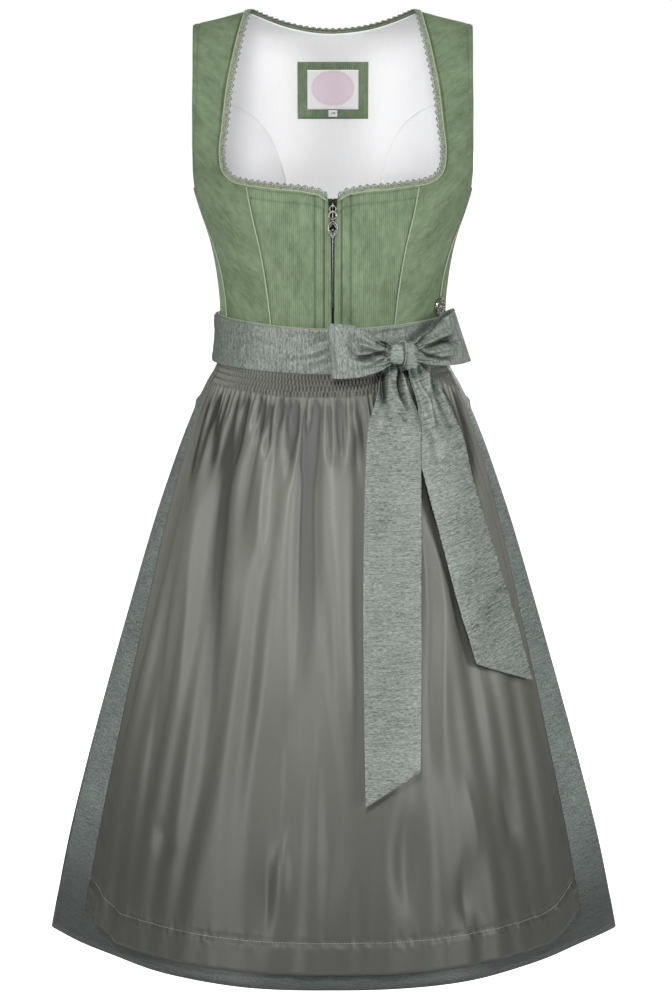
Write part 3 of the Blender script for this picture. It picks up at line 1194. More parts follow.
ZIP_TOP = -0.2005
SLIDER_HEIGHT = -0.2068
PIVOT_STANDOFF = 0.0013
zip_cloth, zip_tree, zip_shader = new_material("zip_tape_cloth", 0.85)
zip_weave = stretched_noise(zip_tree, object_place(zip_tree), (1500, 600, 900), 2.0)
zip_colour = colour_mix(zip_tree, zip_weave, (0.014, 0.022, 0.013), (0.05, 0.07, 0.042))
zip_tree.links.new(zip_colour, zip_shader.inputs["Base Color"])
for word, left, right in (("left", -0.013, -0.0005), ("right", 0.0005, 0.013)):
    downs = np.linspace(down_at(ZIP_TOP + 0.0015), down_at(-0.3385), 40)[:, None]
    across = np.linspace(left, right, 9)[None, :] + 0 * downs
    points = on_form(around_at(across, downs), downs, -0.0024 + 0.0003 * np.exp(-((across / 0.0016) ** 2)))
    cut = np.stack([across, -downs + 0 * across], axis=-1)
    cloth(f"zip_tape_{word}_cloth", points, cut, "zip_tape", 0.0005, zip_cloth, replaces=[f"zip_tape_{word}"])

# Old silver: bright on raised places and brown-black in the hollows, where it is never rubbed.
tarnish_tree, tarnish_in, tarnish_out = new_group("tarnish", {"Scale": 900.0}, ("Dark", "Grain"))
tarnish_noise = {"Vector": tarnish_in["Place"], "Scale": tarnish_in["Scale"], "Detail": 3.0, "Roughness": 0.6}
tarnish_noise = node(tarnish_tree, "ShaderNodeTexNoise", tarnish_noise).outputs["Fac"]
tarnish_tree.links.new(maths(tarnish_tree, "MULTIPLY_ADD", tarnish_noise, 4.0, -1.6, clamp=True), tarnish_out["Dark"])
tarnish_tree.links.new(tarnish_noise, tarnish_out["Grain"])


def silver_material(name, light, dark, scale=900.0):
    material, tree, shader = new_material(name, 0.34, Metallic=1.0)
    tarnish = node(tree, "ShaderNodeGroup", {}, node_tree=tarnish_tree)
    tree.links.new(object_place(tree), tarnish.inputs["Place"])
    tarnish.inputs["Scale"].default_value = scale
    rough = maths(tree, "MULTIPLY_ADD", tarnish.outputs["Dark"], 0.25, 0.26)
    tree.links.new(rough, shader.inputs["Roughness"])
    colour = colour_mix(tree, tarnish.outputs["Dark"], light, dark)
    paint(tree, shader, colour, tarnish.outputs["Grain"], 0.3, 0.0002)
    return material


old_silver = silver_material("old_silver", (0.72, 0.71, 0.67), (0.16, 0.155, 0.14))
dark_silver = silver_material("dark_silver", (0.032, 0.034, 0.028), (0.01, 0.01, 0.009))

tooth_item = mesh_of("tooth", [ball_part((0.0004, 0, 0), (0.0012, 0.00062, 0.0006), 8, 5)])
teeth_rows = []
for side in (-1, 1):
    downs = np.linspace(down_at(ZIP_TOP - 0.009 + side * 0.0002), down_at(-0.3375), 60)
    places, along, outward = path_frames(around_at(-side * 0.0007, downs), downs, -0.0018, 0.0021)
    shift = along * (0.00105 if side > 0 else 0)
    teeth_rows.append((places + shift, along * side, outward))
repeated("zip_teeth", tooth_item, teeth_rows, (1, 1, 1), "dress", "old_silver", dark_silver, replaces=["zip_chain"])


def box_part(centre, half, bevel):
    """A box's vertices and faces with cut corners."""
    shaped = bmesh.new()
    bmesh.ops.create_cube(shaped, size=2, matrix=Matrix.Diagonal((*half, 1)))
    bmesh.ops.bevel(shaped, geom=list(shaped.edges), offset=bevel, segments=2, affect="EDGES", profile=0.5)
    verts = np.array([vertex.co for vertex in shaped.verts]) + np.asarray(centre)
    faces = [tuple(vertex.index for vertex in face.verts) for face in shaped.faces]
    shaped.free()
    return verts, faces


pivot = np.array([0.0, on_form(0.0, down_at(SLIDER_HEIGHT))[1] - 0.001 - PIVOT_STANDOFF, SLIDER_HEIGHT])
slider_parts = [
    box_part((0, 0.0019, 0), (0.003, 0.0007, 0.0047), 0.0005),
    box_part((-0.0028, 0.0024, 0.0004), (0.0007, 0.001, 0.004), 0.0004),
    box_part((0.0028, 0.0024, 0.0004), (0.0007, 0.001, 0.004), 0.0004),
    box_part((0, 0.0026, 0.0052), (0.002, 0.0008, 0.0014), 0.0004),
]
bridge_turn = np.linspace(-math.pi / 2, math.pi / 2, 12)
bridge = np.stack([0 * bridge_turn, -0.0019 * np.cos(bridge_turn), 0.0024 * np.sin(bridge_turn)], axis=-1)
bridge = np.vstack([(0, 0.0016, -0.0024), bridge, (0, 0.0016, 0.0024)])


def show_cast(name, mesh_name, parts, place, body, silver, replaces=()):
    """Shows a cast piece whose parts are given round its own middle."""
    mesh = mesh_of(mesh_name, [(verts + place, faces) for verts, faces in parts], recalculate=True)
    show(name, mesh, body, "old_silver", silver, replaces=replaces)


show_cast("zip_slider_body", "zip_slider", slider_parts, pivot, "dress", dark_silver, ["zip_slider"])
show_cast("zip_slider_bridge", "zip_slider_bridge", [cord_part(bridge, 0.0007, sides=8)], pivot, "dress", old_silver)

# ---- Zip pull and charm ----------------------------------------------------------------------------
# The pull is two cast rings in one piece, hooked through the slider's bridge. From its lower ring hangs
# an openwork leaf charm, cast as thin scrolls, that swings on its own eye.

UPPER_RING, LOWER_RING, RING_OVERLAP = 0.0034, 0.004, 0.0004


def ring_part(radius, centre, wire, plane="XZ", count=28, sides=10):
    turn = np.arange(count) * 2 * math.pi / count
    side, rise, zero = radius * np.sin(turn), radius * np.cos(turn), np.zeros(count)
    columns = (side, zero, rise) if plane == "XZ" else (zero, side, rise)
    return cord_part(np.column_stack(columns) + centre, wire, sides, closed=True)


lower_middle = -2 * UPPER_RING - LOWER_RING + RING_OVERLAP
pull_parts = [
    ring_part(UPPER_RING, (0, 0, -UPPER_RING), 0.00062),
    ring_part(LOWER_RING, (0, 0, lower_middle), 0.0008),
    ball_part((0, 0, -2 * UPPER_RING + 0.0001), (0.0012, 0.0008, 0.0009)),
]
for side in (-1, 1):
    pull_parts.append(ball_part((side * 0.0031, 0, lower_middle + 0.0031), (0.0008, 0.0007, 0.0008), 8, 5))
show_cast("zip_pull_rings", "zip_pull", pull_parts, pivot, "zip_pull", old_silver, ["zip_pull"])

CHARM_EYE, CHARM_WIDTH, CHARM_LENGTH = 0.0015, 0.0096, 0.0186
charm_pivot = pivot + (0, 0, lower_middle - LOWER_RING)


def read_steps(values, at):
    """A smooth line through values, read at a number that may lie between them."""
    return read_table([Edge(number, value) for number, value in enumerate(values)], "across", at)


def leaf_curve(points, count):
    """A smooth line through flat (across, below) points, bowed a little forward in its middle."""
    path = np.array(points)
    at = np.linspace(0, len(path) - 1, count)
    smooth = np.column_stack([read_steps(path[:, k], at) for k in (0, 1)])
    bow = -0.0007 * np.cos(np.clip(np.abs(smooth[:, 0]) / (CHARM_WIDTH / 2), 0, 1) * math.pi / 2)
    return np.column_stack([smooth[:, 0], bow, -smooth[:, 1]])


charm_parts = [ring_part(CHARM_EYE, (0, 0, 0), 0.0005, "YZ", 16, 8)]
half = CHARM_WIDTH / 2
tip = CHARM_EYE + CHARM_LENGTH - 0.0002
for side in (-1, 1):
    scrolls = (
        ((0, 0.0016), (0.45, 0.0036), (0.92, 0.0068), (1.0, 0.0098), (0.8, 0.0136), (0.36, 0.0172), (0, tip)),
        ((0, 0.0042), (0.22, 0.005), (0.5, 0.0072), (0.86, 0.0096)),
        ((0.8, 0.0112), (0.5, 0.0128), (0.22, 0.0146), (0, 0.0156)),
        ((0.46, 0.015), (0.26, 0.0164), (0, 0.0178)),
    )
    for number, scroll in enumerate(scrolls):
        path = leaf_curve([(side * across * half, below) for across, below in scroll], 22 if number == 0 else 14)
        charm_parts.append(cord_part(path, 0.00062 if number == 0 else 0.0005, sides=7))
charm_parts.append(ball_part((0, -0.0006, -0.0116), (0.001, 0.0008, 0.0014), 9, 6))
charm_parts.append(ball_part((0, -0.0003, -tip), (0.0011, 0.0009, 0.001), 9, 6))
plate_across = np.array([0.0, 0.4, 0.86, 0.95, 0.76, 0.34, 0.0])
plate_below = np.array([0.0018, 0.0036, 0.0068, 0.0098, 0.0136, 0.0172, tip])
plate_rows = np.linspace(0, 6, 22)
plate_half = half * read_steps(plate_across, plate_rows)
plate_down = read_steps(plate_below, plate_rows)
plate_turn = np.arange(10) * 2 * math.pi / 10
plate_verts = np.stack(
    [
        np.maximum(plate_half, 0.0001)[:, None] * np.cos(plate_turn),
        0.0002 + 0.00022 * np.sin(plate_turn) + 0 * plate_half[:, None],
        -plate_down[:, None] + 0 * plate_turn,
    ],
    axis=-1,
)
plate_parts = [(plate_verts.reshape(-1, 3), ring_faces(22, 10, False))]
show_cast("zip_charm_ground", "zip_charm_ground", plate_parts, charm_pivot, "zip_charm", dark_silver)
show_cast("zip_charm_leaf", "zip_charm", charm_parts, charm_pivot, "zip_charm", old_silver, ["zip_charm"])

# ---- Button ----------------------------------------------------------------------------------------
# A cast old-silver button, domed and covered in filigree with a beaded rim, is sewn on at the right of
# the waist through a shank behind it.

BUTTON_ACROSS = 0.116
BUTTON_DOME = 0.0036
PETALS = 8
RIM_BEADS = 26
button_down = down_at(BUTTON_HEIGHT)
button_around = around_at(BUTTON_ACROSS, button_down)
button_foot = on_form(button_around, button_down)
button_outward = Vector(on_form(button_around, button_down, 1.0) - button_foot)
button_turn = np.array(button_outward.to_track_quat("Z", "Y").to_matrix())
button_middle = button_foot + 0.0014 * np.array(button_outward)


def on_dome(radius, turn, lift=0.0):
    """A place on the button's domed face, by its distance from the middle and its turn."""
    radius = np.asarray(radius, float)
    rise = (BUTTON_DOME - 0.001) * np.sqrt(np.clip(1 - (radius / BUTTON_RADIUS) ** 2, 0, 1)) + lift
    return np.stack(np.broadcast_arrays(radius * np.cos(turn), radius * np.sin(turn), rise), axis=-1)


DOME_SIDES = 40
dome_rings = BUTTON_RADIUS * np.sin(np.linspace(0.06, 1, 9) * math.pi / 2)
dome_turn = np.arange(DOME_SIDES) * 2 * math.pi / DOME_SIDES
dome_verts = np.concatenate([on_dome(0.97 * ring, dome_turn, -0.0001) for ring in dome_rings])
under = dome_verts[-DOME_SIDES:] * (1, 1, 0) + (0, 0, -0.0006)
dome_verts = np.vstack([dome_verts, under, under * (0.9, 0.9, 1)])
button_parts = [
    (dome_verts, [face[::-1] for face in ring_faces(len(dome_rings) + 2, DOME_SIDES, False)]),
    cord_part(on_dome(0.004, dome_turn, 0.0001), 0.00042, 6, closed=True),
    cord_part(on_dome(0.0096, dome_turn, 0.0002), 0.0006, 6, closed=True),
    ball_part((0, 0, BUTTON_DOME - 0.0012), (0.0021, 0.0021, 0.0013), 14, 8),
]
for petal in range(PETALS):
    middle_turn = petal * 2 * math.pi / PETALS
    swing = np.linspace(0, 2 * math.pi, 19)[:-1]
    radius = 0.0066 + 0.002 * np.cos(swing)
    button_parts.append(cord_part(on_dome(radius, middle_turn + 0.3 * np.sin(swing), 0.0002), 0.00038, 5, closed=True))
    button_parts.append(ball_part(on_dome(0.0066, middle_turn, 0.0002), (0.0008, 0.0008, 0.0006), 8, 5))
for bead in range(RIM_BEADS):
    button_parts.append(ball_part(on_dome(0.0086, bead * 2 * math.pi / RIM_BEADS, 0.0), (0.0007,) * 3, 7, 5))
button_parts = [(verts @ button_turn.T, faces) for verts, faces in button_parts]
button_silver = silver_material("button_silver", (0.66, 0.65, 0.6), (0.07, 0.067, 0.058), 700.0)
show_cast("side_button_filigree", "side_button", button_parts, button_middle, "dress", button_silver, ["side_button"])

# ---- Skirt -----------------------------------------------------------------------------------------
# The skirt is slubbed cloth, gathered into the waist seam all round and sewn up the sides. Its front is
# smooth under the apron, its back hangs in deep uneven folds, and its hem is turned up and stitched.

HEM = -1.034
SKIRT_WALL = 0.0009
SKIRT_RIDGE = 0.016
SKIRT_HEM_DEPTH = 0.036
Trough = namedtuple("Trough", "top low depth half_width from_height to_height")
SKIRT_BACK_TROUGHS = rows_of(
    Trough,
    (1.08, 1.06, 0.5, 0.035, -0.4, -1.034), (1.21, 1.19, 0.9, 0.045, -0.4, -1.034),
    (1.35, 1.35, 0.7, 0.04, -0.4, -0.82), (1.48, 1.47, 1, 0.05, -0.4, -1.034),
    (1.63, 1.61, 0.75, 0.045, -0.4, -1.034), (1.76, 1.78, 0.95, 0.045, -0.4, -1.034),
    (1.9, 1.91, 0.6, 0.04, -0.4, -0.78), (2.02, 2.04, 1, 0.05, -0.4, -1.034),
    (2.17, 2.19, 0.75, 0.045, -0.4, -1.034), (2.3, 2.33, 0.95, 0.045, -0.4, -1.034),
    (2.45, 2.46, 0.6, 0.04, -0.4, -0.86), (2.57, 2.6, 0.95, 0.05, -0.4, -1.034),
    (2.71, 2.74, 0.75, 0.045, -0.4, -1.034), (2.85, 2.87, 0.85, 0.04, -0.4, -1.034),
    (2.94, 2.955, 0.4, 0.03, -0.4, -0.9),
)

# Slub: thick and thin threads across the cloth, so that it is streaked light and dark along them.
slub_tree, slub_in, slub_out = new_group("slub", {}, ("Streak", "Thread", "Cloud"))
slub_fine = stretched_noise(slub_tree, slub_in["Place"], (230, 1050, 1), 1.0, 0.6)
slub_broad = stretched_noise(slub_tree, slub_in["Place"], (50, 440, 1), 2.0, 0.6)
slub_fine = maths(slub_tree, "MULTIPLY", slub_fine, 0.6)
slub_sum = maths(slub_tree, "ADD", slub_fine, maths(slub_tree, "MULTIPLY", slub_broad, 0.4))
slub_tree.links.new(maths(slub_tree, "MULTIPLY_ADD", slub_sum, 2.9, -0.95, clamp=True), slub_out["Streak"])
slub_tree.links.new(stretched_noise(slub_tree, slub_in["Place"], (1300, 330, 1), 1.0), slub_out["Thread"])
slub_tree.links.new(stretched_noise(slub_tree, slub_in["Place"], (14, 22, 1), 2.0), slub_out["Cloud"])


def slubbed_material(name, light, dark):
    material, tree, shader = new_material(name, 0.42)
    shader.inputs["Specular IOR Level"].default_value = 0.7
    slub = node(tree, "ShaderNodeGroup", {}, node_tree=slub_tree)
    tree.links.new(cut_place(tree), slub.inputs["Place"])
    weave = off_middle(tree, slub.outputs["Thread"], 0.9, slub.outputs["Streak"])
    share = off_middle(tree, slub.outputs["Cloud"], 0.5, weave, clamp=True)
    colour = hollowed(tree, colour_mix(tree, share, dark, light), (0.016, 0.02, 0.018))
    paint(tree, shader, colour, weave, 0.5, 0.0004)
    return material


skirt_slub = slubbed_material("skirt_slub", (0.302, 0.35, 0.326), (0.064, 0.079, 0.073))


def trough_depth(troughs, around, height):
    """How deep the cloth falls in between its folds, from 0 on a ridge to 1 in a full trough."""
    depth = np.zeros(np.broadcast(around, height).shape)
    for trough in troughs:
        part = np.clip((trough.from_height - height) / (trough.from_height - trough.to_height), 0, 1)
        centre = trough.top + (trough.low - trough.top) * part
        width = trough.half_width * (0.7 + 0.6 * part)
        ends = smooth_step(part, 0, 0.08) * (1 - smooth_step(part, 0.7, 1.0) * (trough.to_height > HEM))
        depth = np.maximum(depth, trough.depth * ends * np.exp(-(((around - centre) / width) ** 2)))
    return depth


def gathers(around, height, seed, first, last, spacing, half_width, rise, start, end):
    """Short uneven gathers that run down from a seam: a smooth dent each, of its own length and depth."""
    random = np.random.default_rng(seed)
    out = np.zeros(np.broadcast(around, height).shape)
    girth = 1 / girth_share(1.0, down_at(height))
    place = first
    while place < last:
        long, deep, wide = random.uniform(0.45, 1.0), random.uniform(0.5, 1.0), random.uniform(0.7, 1.3)
        lean = random.uniform(-0.15, 0.15)
        fall = (start - height) / ((start - end) * long)
        away = (around - place) * girth - lean * np.maximum(start - height, 0) * 0.3
        fade = smooth_step(fall, 0, 0.12) * (1 - smooth_step(fall, 0.35, 1.0))
        width = half_width * wide * (1 + 0.8 * np.clip(fall, 0, 1))
        out -= rise * deep * fade * np.exp(-((away / width) ** 2))
        place += spacing * random.uniform(0.6, 1.4) / 0.2
    return out


skirt_rows = np.concatenate(
    [np.linspace(-0.3375, -0.385, 8)[:-1], np.linspace(-0.385, -0.52, 40)[:-1], np.linspace(-0.52, HEM, 78)]
)[:, None]
skirt_half = np.concatenate([[0, 0.004, 0.009, 0.016, 0.026, 0.04], np.linspace(0.06, 1, 96)])
skirt_columns = np.concatenate([-1 + skirt_half, 1 - skirt_half[-2::-1]])


def skirt_cloth(name, middle):
    """Half of the skirt, round the front (0) or the back (2), with its folds and its stitched hem."""
    around = middle + skirt_columns * (1 - 0.0001)
    height = skirt_rows + 0 * around
    down = np.maximum(down_at(height), down_at(waist_height(around)) + 0.0002)
    behind = smooth_step(np.abs(around - 2), 1.0, 0.9)
    fullness = smooth_step(-height, 0.395, 0.62)
    out = behind * fullness * SKIRT_RIDGE * (0.25 - trough_depth(SKIRT_BACK_TROUGHS, around, height))
    if middle:
        out += behind * gathers(around, height, 21, 1.05, 2.95, 0.011, 0.003, 0.0024, -0.384, -0.52)
        out += behind * gathers(around, height, 22, 1.05, 2.95, 0.03, 0.008, 0.0045, -0.4, -0.78)
        out += behind * 0.002 * smooth_step(-height, 0.5, 0.7) * drift(around * 0.6, height * 0.35, 0.09, 23)
    else:
        out += 0.0022 * smooth_step(-height, 0.6, 1.0) * drift(around * 0.6, height * 0.3, 0.13, 24)
    hollow = np.clip(-out / 0.016, 0, 0.6) * smooth_step(-height, 0.37, 0.4)
    hollow = np.maximum(hollow, 0.8 * smooth_step(-height, 0.85, 1.02))
    side = np.exp(-(((1 - np.abs(skirt_columns)) / 0.02) ** 2)) * np.exp(-(((height + 0.4295) / 0.0042) ** 2))
    out += 0.0022 * side
    above_hem = height - HEM
    out += groove(above_hem - SKIRT_HEM_DEPTH, 0.0007, 0.0016) - 0.0004 * smooth_step(above_hem, 0.034, 0.038)
    pucker = np.exp(-(((above_hem - SKIRT_HEM_DEPTH) / 0.006) ** 2))
    out += 0.0004 * pucker * drift(around * 0.35, height, 0.009, 25)
    points, cut = on_form(around, down, out), cut_on_form(around, down)
    made = {"replaces": [name], "held": "gathered", "hollow": hollow}
    cloth(f"{name}_cloth", points, cut, "slubbed_cloth", SKIRT_WALL, skirt_slub, **made)


skirt_cloth("skirt_front", 0)
skirt_cloth("skirt_back", 2)

# ---- Apron -----------------------------------------------------------------------------------------
# The apron is thin satin, shirred on five rows of elastic thread under the sash, so that it falls in
# short gathers that run together into long soft folds. Its sides and its deep hem are turned and sewn.

APRON_HALF_REACH = 0.8125
APRON_HEM = -1.017
APRON_CORNER_RISE = 0.0215
APRON_TOP = -0.339
APRON_WAIST_OUT = 0.003
APRON_MIDDLE_OUT = 0.009
APRON_EDGE_OUT = 0.004
APRON_LEAST_OUT, APRON_MOST_OUT = 0.0008, 0.015
APRON_HEM_DEPTH = 0.0335
APRON_SIDE_HEM = 0.009
APRON_WALL = 0.0006
SHIRRING_PITCH = 0.0038
SHIRRING_ROW = 0.0062
SHIRRING_ROWS = 5
ShirringEnd = namedtuple("ShirringEnd", "around height")
SHIRRING_END = rows_of(
    ShirringEnd,
    (-0.85, -0.406), (-0.54, -0.41), (-0.26, -0.4145), (0, -0.415), (0.21, -0.412), (0.65, -0.401), (0.85, -0.401),
)

# The main folds: how far each stands out in tenths of a millimetre, negative for a trough, and its path as
# (height in millimetres, around in thousandths, half width in millimetres).
# Those that start above SHIRRING_FOLDS_ABOVE come straight out of the shirring, the others rise slowly.
SHIRRING_FOLDS_ABOVE = -0.45
FOLD_STRENGTH = 1.9
Fold = namedtuple("Fold", "rise path")
APRON_FOLDS = rows_of(
    Fold,
    (-64, ((-414, -543, 5), (-459, -526, 7), (-503, -500, 9), (-541, -483, 11), (-603, -458, 14), (-660, -434, 16),
        (-746, -408, 18), (-822, -400, 20), (-915, -413, 24))),
    (-45, ((-410, -675, 4), (-440, -653, 6), (-477, -603, 9), (-520, -580, 11))),
    (-45, ((-412, -413, 4), (-419, -390, 4), (-441, -374, 6), (-462, -365, 8))),
    (-35, ((-455, -370, 10), (-494, -375, 13), (-536, -374, 16), (-600, -370, 18))),
    (28, ((-480, -318, 5), (-519, -306, 7), (-561, -289, 8), (-600, -275, 10))),
    (-50, ((-414, -257, 4), (-435, -244, 6), (-461, -219, 8), (-490, -205, 9))),
    (-35, ((-415, -228, 3), (-445, -208, 5))),
    (-60, ((-414, -150, 4), (-455, -136, 6), (-485, -132, 7), (-504, -112, 9), (-550, -106, 12), (-597, -95, 16),
        (-643, -90, 19), (-707, -93, 26), (-780, -95, 30))),
    (-52, ((-452, -137, 3), (-485, -132, 4), (-504, -112, 5), (-550, -106, 6), (-640, -92, 8))),
    (-60, ((-690, -115, 12), (-787, -155, 15), (-866, -151, 16), (-925, -159, 16))),
    (-60, ((-690, -55, 12), (-786, -5, 15), (-892, 9, 16), (-945, -12, 16))),
    (-50, ((-415, -68, 4), (-434, -73, 5), (-464, -82, 7), (-510, -95, 8))),
    (-40, ((-416, 43, 4), (-450, 44, 5), (-490, 46, 7))),
    (-40, ((-415, 105, 4), (-443, 103, 5), (-457, 114, 6), (-500, 106, 8))),
    (30, ((-460, 10, 8), (-540, 0, 14), (-660, 20, 18), (-760, 60, 18))),
    (35, ((-450, -190, 6), (-540, -190, 12), (-660, -200, 18), (-780, -220, 18))),
    (-40, ((-560, 200, 14), (-700, 190, 18), (-800, 200, 18))),
    (-50, ((-480, 372, 7), (-600, 360, 10), (-644, 349, 13), (-735, 309, 15), (-830, 284, 16))),
    (34, ((-480, 418, 7), (-600, 412, 9), (-632, 406, 11), (-765, 343, 13), (-820, 330, 14))),
    (30, ((-812, 396, 8), (-876, 405, 10), (-910, 405, 10))),
    (-30, ((-822, 528, 9), (-885, 546, 11), (-915, 502, 12))),
    (-50, ((-835, 206, 11), (-890, 198, 13), (-950, 192, 13))),
    (-30, ((-870, -563, 8), (-885, -523, 10), (-910, -472, 12))),
    (-40, ((-880, -181, 9), (-960, -173, 11), (-985, -173, 11))),
    (28, ((-860, -136, 8), (-920, -130, 10), (-960, -128, 10))),
    (-40, ((-900, 364, 9), (-949, 354, 11), (-975, 350, 11))),
    (-50, ((-406, 455, 4), (-440, 440, 6), (-500, 430, 10), (-600, 440, 13))),
    (-60, ((-402, 560, 4), (-440, 555, 6), (-500, 545, 10), (-620, 540, 15), (-740, 530, 16))),
    (-45, ((-401, 650, 4), (-440, 650, 6), (-510, 640, 10), (-640, 630, 14))),
    (35, ((-440, 600, 6), (-520, 595, 10), (-640, 585, 13), (-760, 580, 14))),
    (30, ((-520, -620, 10), (-640, -560, 14), (-760, -520, 16))),
    (-35, ((-600, -680, 10), (-720, -640, 13), (-860, -610, 14))),
    (-30, ((-560, -290, 10), (-700, -280, 16), (-850, -290, 18))),
    (-60, ((-403, 690, 3), (-425, 689, 4), (-452, 696, 5), (-481, 697, 7), (-530, 695, 9))),
    (-50, ((-403, 770, 3), (-439, 748, 4), (-469, 740, 5), (-520, 740, 6))),
    (-50, ((-403, 631, 3), (-419, 649, 3), (-440, 655, 4))),
    (-50, ((-413, -487, 3), (-453, -473, 5), (-485, -465, 6))),
    (-52, ((-417, -334, 3), (-451, -316, 4), (-480, -308, 6))),
    (-48, ((-418, -192, 3), (-460, -182, 4))),
    (-48, ((-418, -14, 3), (-460, -13, 4), (-485, -15, 5))),
    (-50, ((-420, -760, 3), (-470, -735, 5), (-534, -705, 7))),
)


def folds_out(folds, around, height):
    """How far the folds push the cloth out or in, each fading in and out along its path."""
    out = np.zeros(np.broadcast(around, height).shape)
    girth = 1 / girth_share(1.0, down_at(height))
    for fold in folds:
        path = np.array(fold.path) / 1000
        centre = np.interp(-height, -path[:, 0], path[:, 1])
        width = np.interp(-height, -path[:, 0], path[:, 2])
        part = (path[0, 0] - height) / (path[0, 0] - path[-1, 0])
        rise_by = 0.14 if path[0, 0] > SHIRRING_FOLDS_ABOVE else 0.55
        fade = smooth_step(part, -0.04, rise_by) * (1 - smooth_step(part, 0.6, 1.12))
        away = np.abs(around - centre) * girth / width
        out += FOLD_STRENGTH * (fold.rise / 10000) * fade * np.exp(-(away**1.5))
    return out


def read_grid(values, rows, columns, height, around):
    """A row of a grid's values at one height, read across."""
    low = np.searchsorted(-rows[:, 0], -height)
    share = (rows[low - 1, 0] - height) / (rows[low - 1, 0] - rows[low, 0])
    return np.interp(around, columns, values[low - 1] * (1 - share) + values[low] * share)


def apron_hem_height(around):
    """Level across the middle, rising to the corners."""
    return APRON_HEM + APRON_CORNER_RISE * smooth_step(np.abs(around), 0.62, APRON_HALF_REACH)


apron_rows = np.concatenate(
    [
        np.linspace(APRON_TOP, -0.378, 3)[:-1],
        np.linspace(-0.378, -0.418, 30)[:-1],
        np.linspace(-0.418, -0.49, 20)[:-1],
        np.linspace(-0.49, -0.975, 50)[:-1],
        np.linspace(-0.975, APRON_HEM, 12),
    ]
)[:, None]
APRON_FINE_ROWS = 52
edge_columns = np.array([0, 0.003, 0.007, 0.013, 0.02, 0.028])
middle_columns = np.linspace(-APRON_HALF_REACH + 0.033, APRON_HALF_REACH - 0.033, 545)
apron_columns = np.concatenate(
    [-APRON_HALF_REACH + edge_columns, middle_columns, APRON_HALF_REACH - edge_columns[::-1]]
)
apron_around = apron_columns + 0 * apron_rows
apron_height = apron_rows + 0 * apron_around
shirring_end = read_table(SHIRRING_END, "height", apron_around)
below_shirring = shirring_end - apron_height
from_edge = (APRON_HALF_REACH - np.abs(apron_around)) / girth_share(1.0, down_at(apron_height))

apron_full = 0.72 * smooth_step(below_shirring, -0.004, 0.016) + 0.28 * smooth_step(below_shirring, 0.01, 0.09)
apron_out = APRON_WAIST_OUT + (APRON_MIDDLE_OUT - APRON_WAIST_OUT) * apron_full
apron_folds = folds_out(APRON_FOLDS, apron_around, apron_height)
apron_folds += gathers(apron_around, apron_height, 31, -0.8, 0.8, 0.006, 0.0017, 0.0062, -0.407, -0.47)
apron_folds += gathers(apron_around, apron_height, 32, -0.79, 0.79, 0.017, 0.0036, 0.0085, -0.409, -0.57)
apron_troughs = apron_folds.copy()
apron_folds += gathers(apron_around, apron_height, 33, -0.77, 0.77, 0.05, 0.012, 0.0078, -0.43, -1.02)
broad_folds = drift(apron_around * 0.75, apron_height * 0.22, 0.075, 34)
apron_folds += 0.0026 * smooth_step(-apron_height, 0.5, 0.72) * broad_folds
apron_out += apron_folds * smooth_step(from_edge, -0.006, 0.02)
deep = np.clip(-(0.8 * apron_troughs + 0.2 * apron_folds) / 0.0098, 0, 1)
hollow_fade = 1 - 0.45 * smooth_step(-apron_height, 0.5, 0.75)
apron_hollow = 0.8 * deep**2.6 * hollow_fade * smooth_step(from_edge, -0.004, 0.012)
apron_hollow = np.maximum(apron_hollow, 0.7 * smooth_step(-apron_height, 0.55, 1.0))

# Each row of elastic pulls the satin into small puckers, shifted from those of the row above.
shirring_row = np.clip((below_shirring + SHIRRING_ROW * SHIRRING_ROWS) / SHIRRING_ROW, 0, SHIRRING_ROWS)
row_number = np.floor(shirring_row)
pucker_random = np.random.default_rng(35)
row_shifts = pucker_random.uniform(-0.6, 0.6, SHIRRING_ROWS + 1) + math.pi * (np.arange(SHIRRING_ROWS + 1) % 2)
row_shift = row_shifts[row_number.astype(int)]
flat_across = cut_on_form(apron_around, down_at(np.full_like(apron_height, -0.4)))[..., 0]
flat_across = flat_across + 0.0009 * drift(apron_around * 0.2, 0.004 * row_number, 0.021, 36)
pucker = np.cos(2 * math.pi * flat_across / SHIRRING_PITCH + row_shift)
pinch = np.sin(math.pi * (shirring_row - row_number)) ** 0.7
in_shirring = (below_shirring < 0) * smooth_step(shirring_row, 0, 0.4)
pucker_rise = 0.001 + 0.00115 * smooth_step(-apron_height, 0.389, 0.394)
row_shown = 1 - 0.9 * smooth_step(np.abs(apron_around), 0.2, 0.5)
apron_out += pucker_rise * (pucker * pinch + 0.45 * row_shown * pinch) * in_shirring
shirring_hollow = 0.7 * ((1 - pucker) / 2) ** 1.5 + 0.26 * row_shown * (1 - pinch) ** 1.5
apron_hollow = np.maximum(apron_hollow, in_shirring * shirring_hollow)

above_hem = apron_height - APRON_HEM
apron_out += groove(above_hem - APRON_HEM_DEPTH, 0.0016, 0.0019) + 0.0009 * smooth_step(above_hem, 0.036, 0.032)
hem_pucker = drift(apron_around * 0.4, apron_height, 0.008, 37)
apron_out += 0.0013 * np.exp(-(((above_hem - APRON_HEM_DEPTH) / 0.007) ** 2)) * hem_pucker
side_pucker = drift(from_edge * 0.6 + apron_height, apron_height, 0.013, 38) * smooth_step(-apron_height, 0.42, 0.72)
apron_out += 0.002 * side_pucker * np.exp(-(((from_edge - APRON_SIDE_HEM) / 0.006) ** 2))
apron_out += groove(from_edge - APRON_SIDE_HEM, 0.001, 0.0016) * smooth_step(below_shirring, 0.0, 0.03)
apron_out += (APRON_EDGE_OUT - APRON_MIDDLE_OUT) * apron_full * smooth_step(from_edge, 0.04, 0.0)
room = (APRON_MOST_OUT - APRON_LEAST_OUT) / 2
apron_out = APRON_LEAST_OUT + room * (1 + np.tanh((apron_out - APRON_LEAST_OUT) / room - 1))

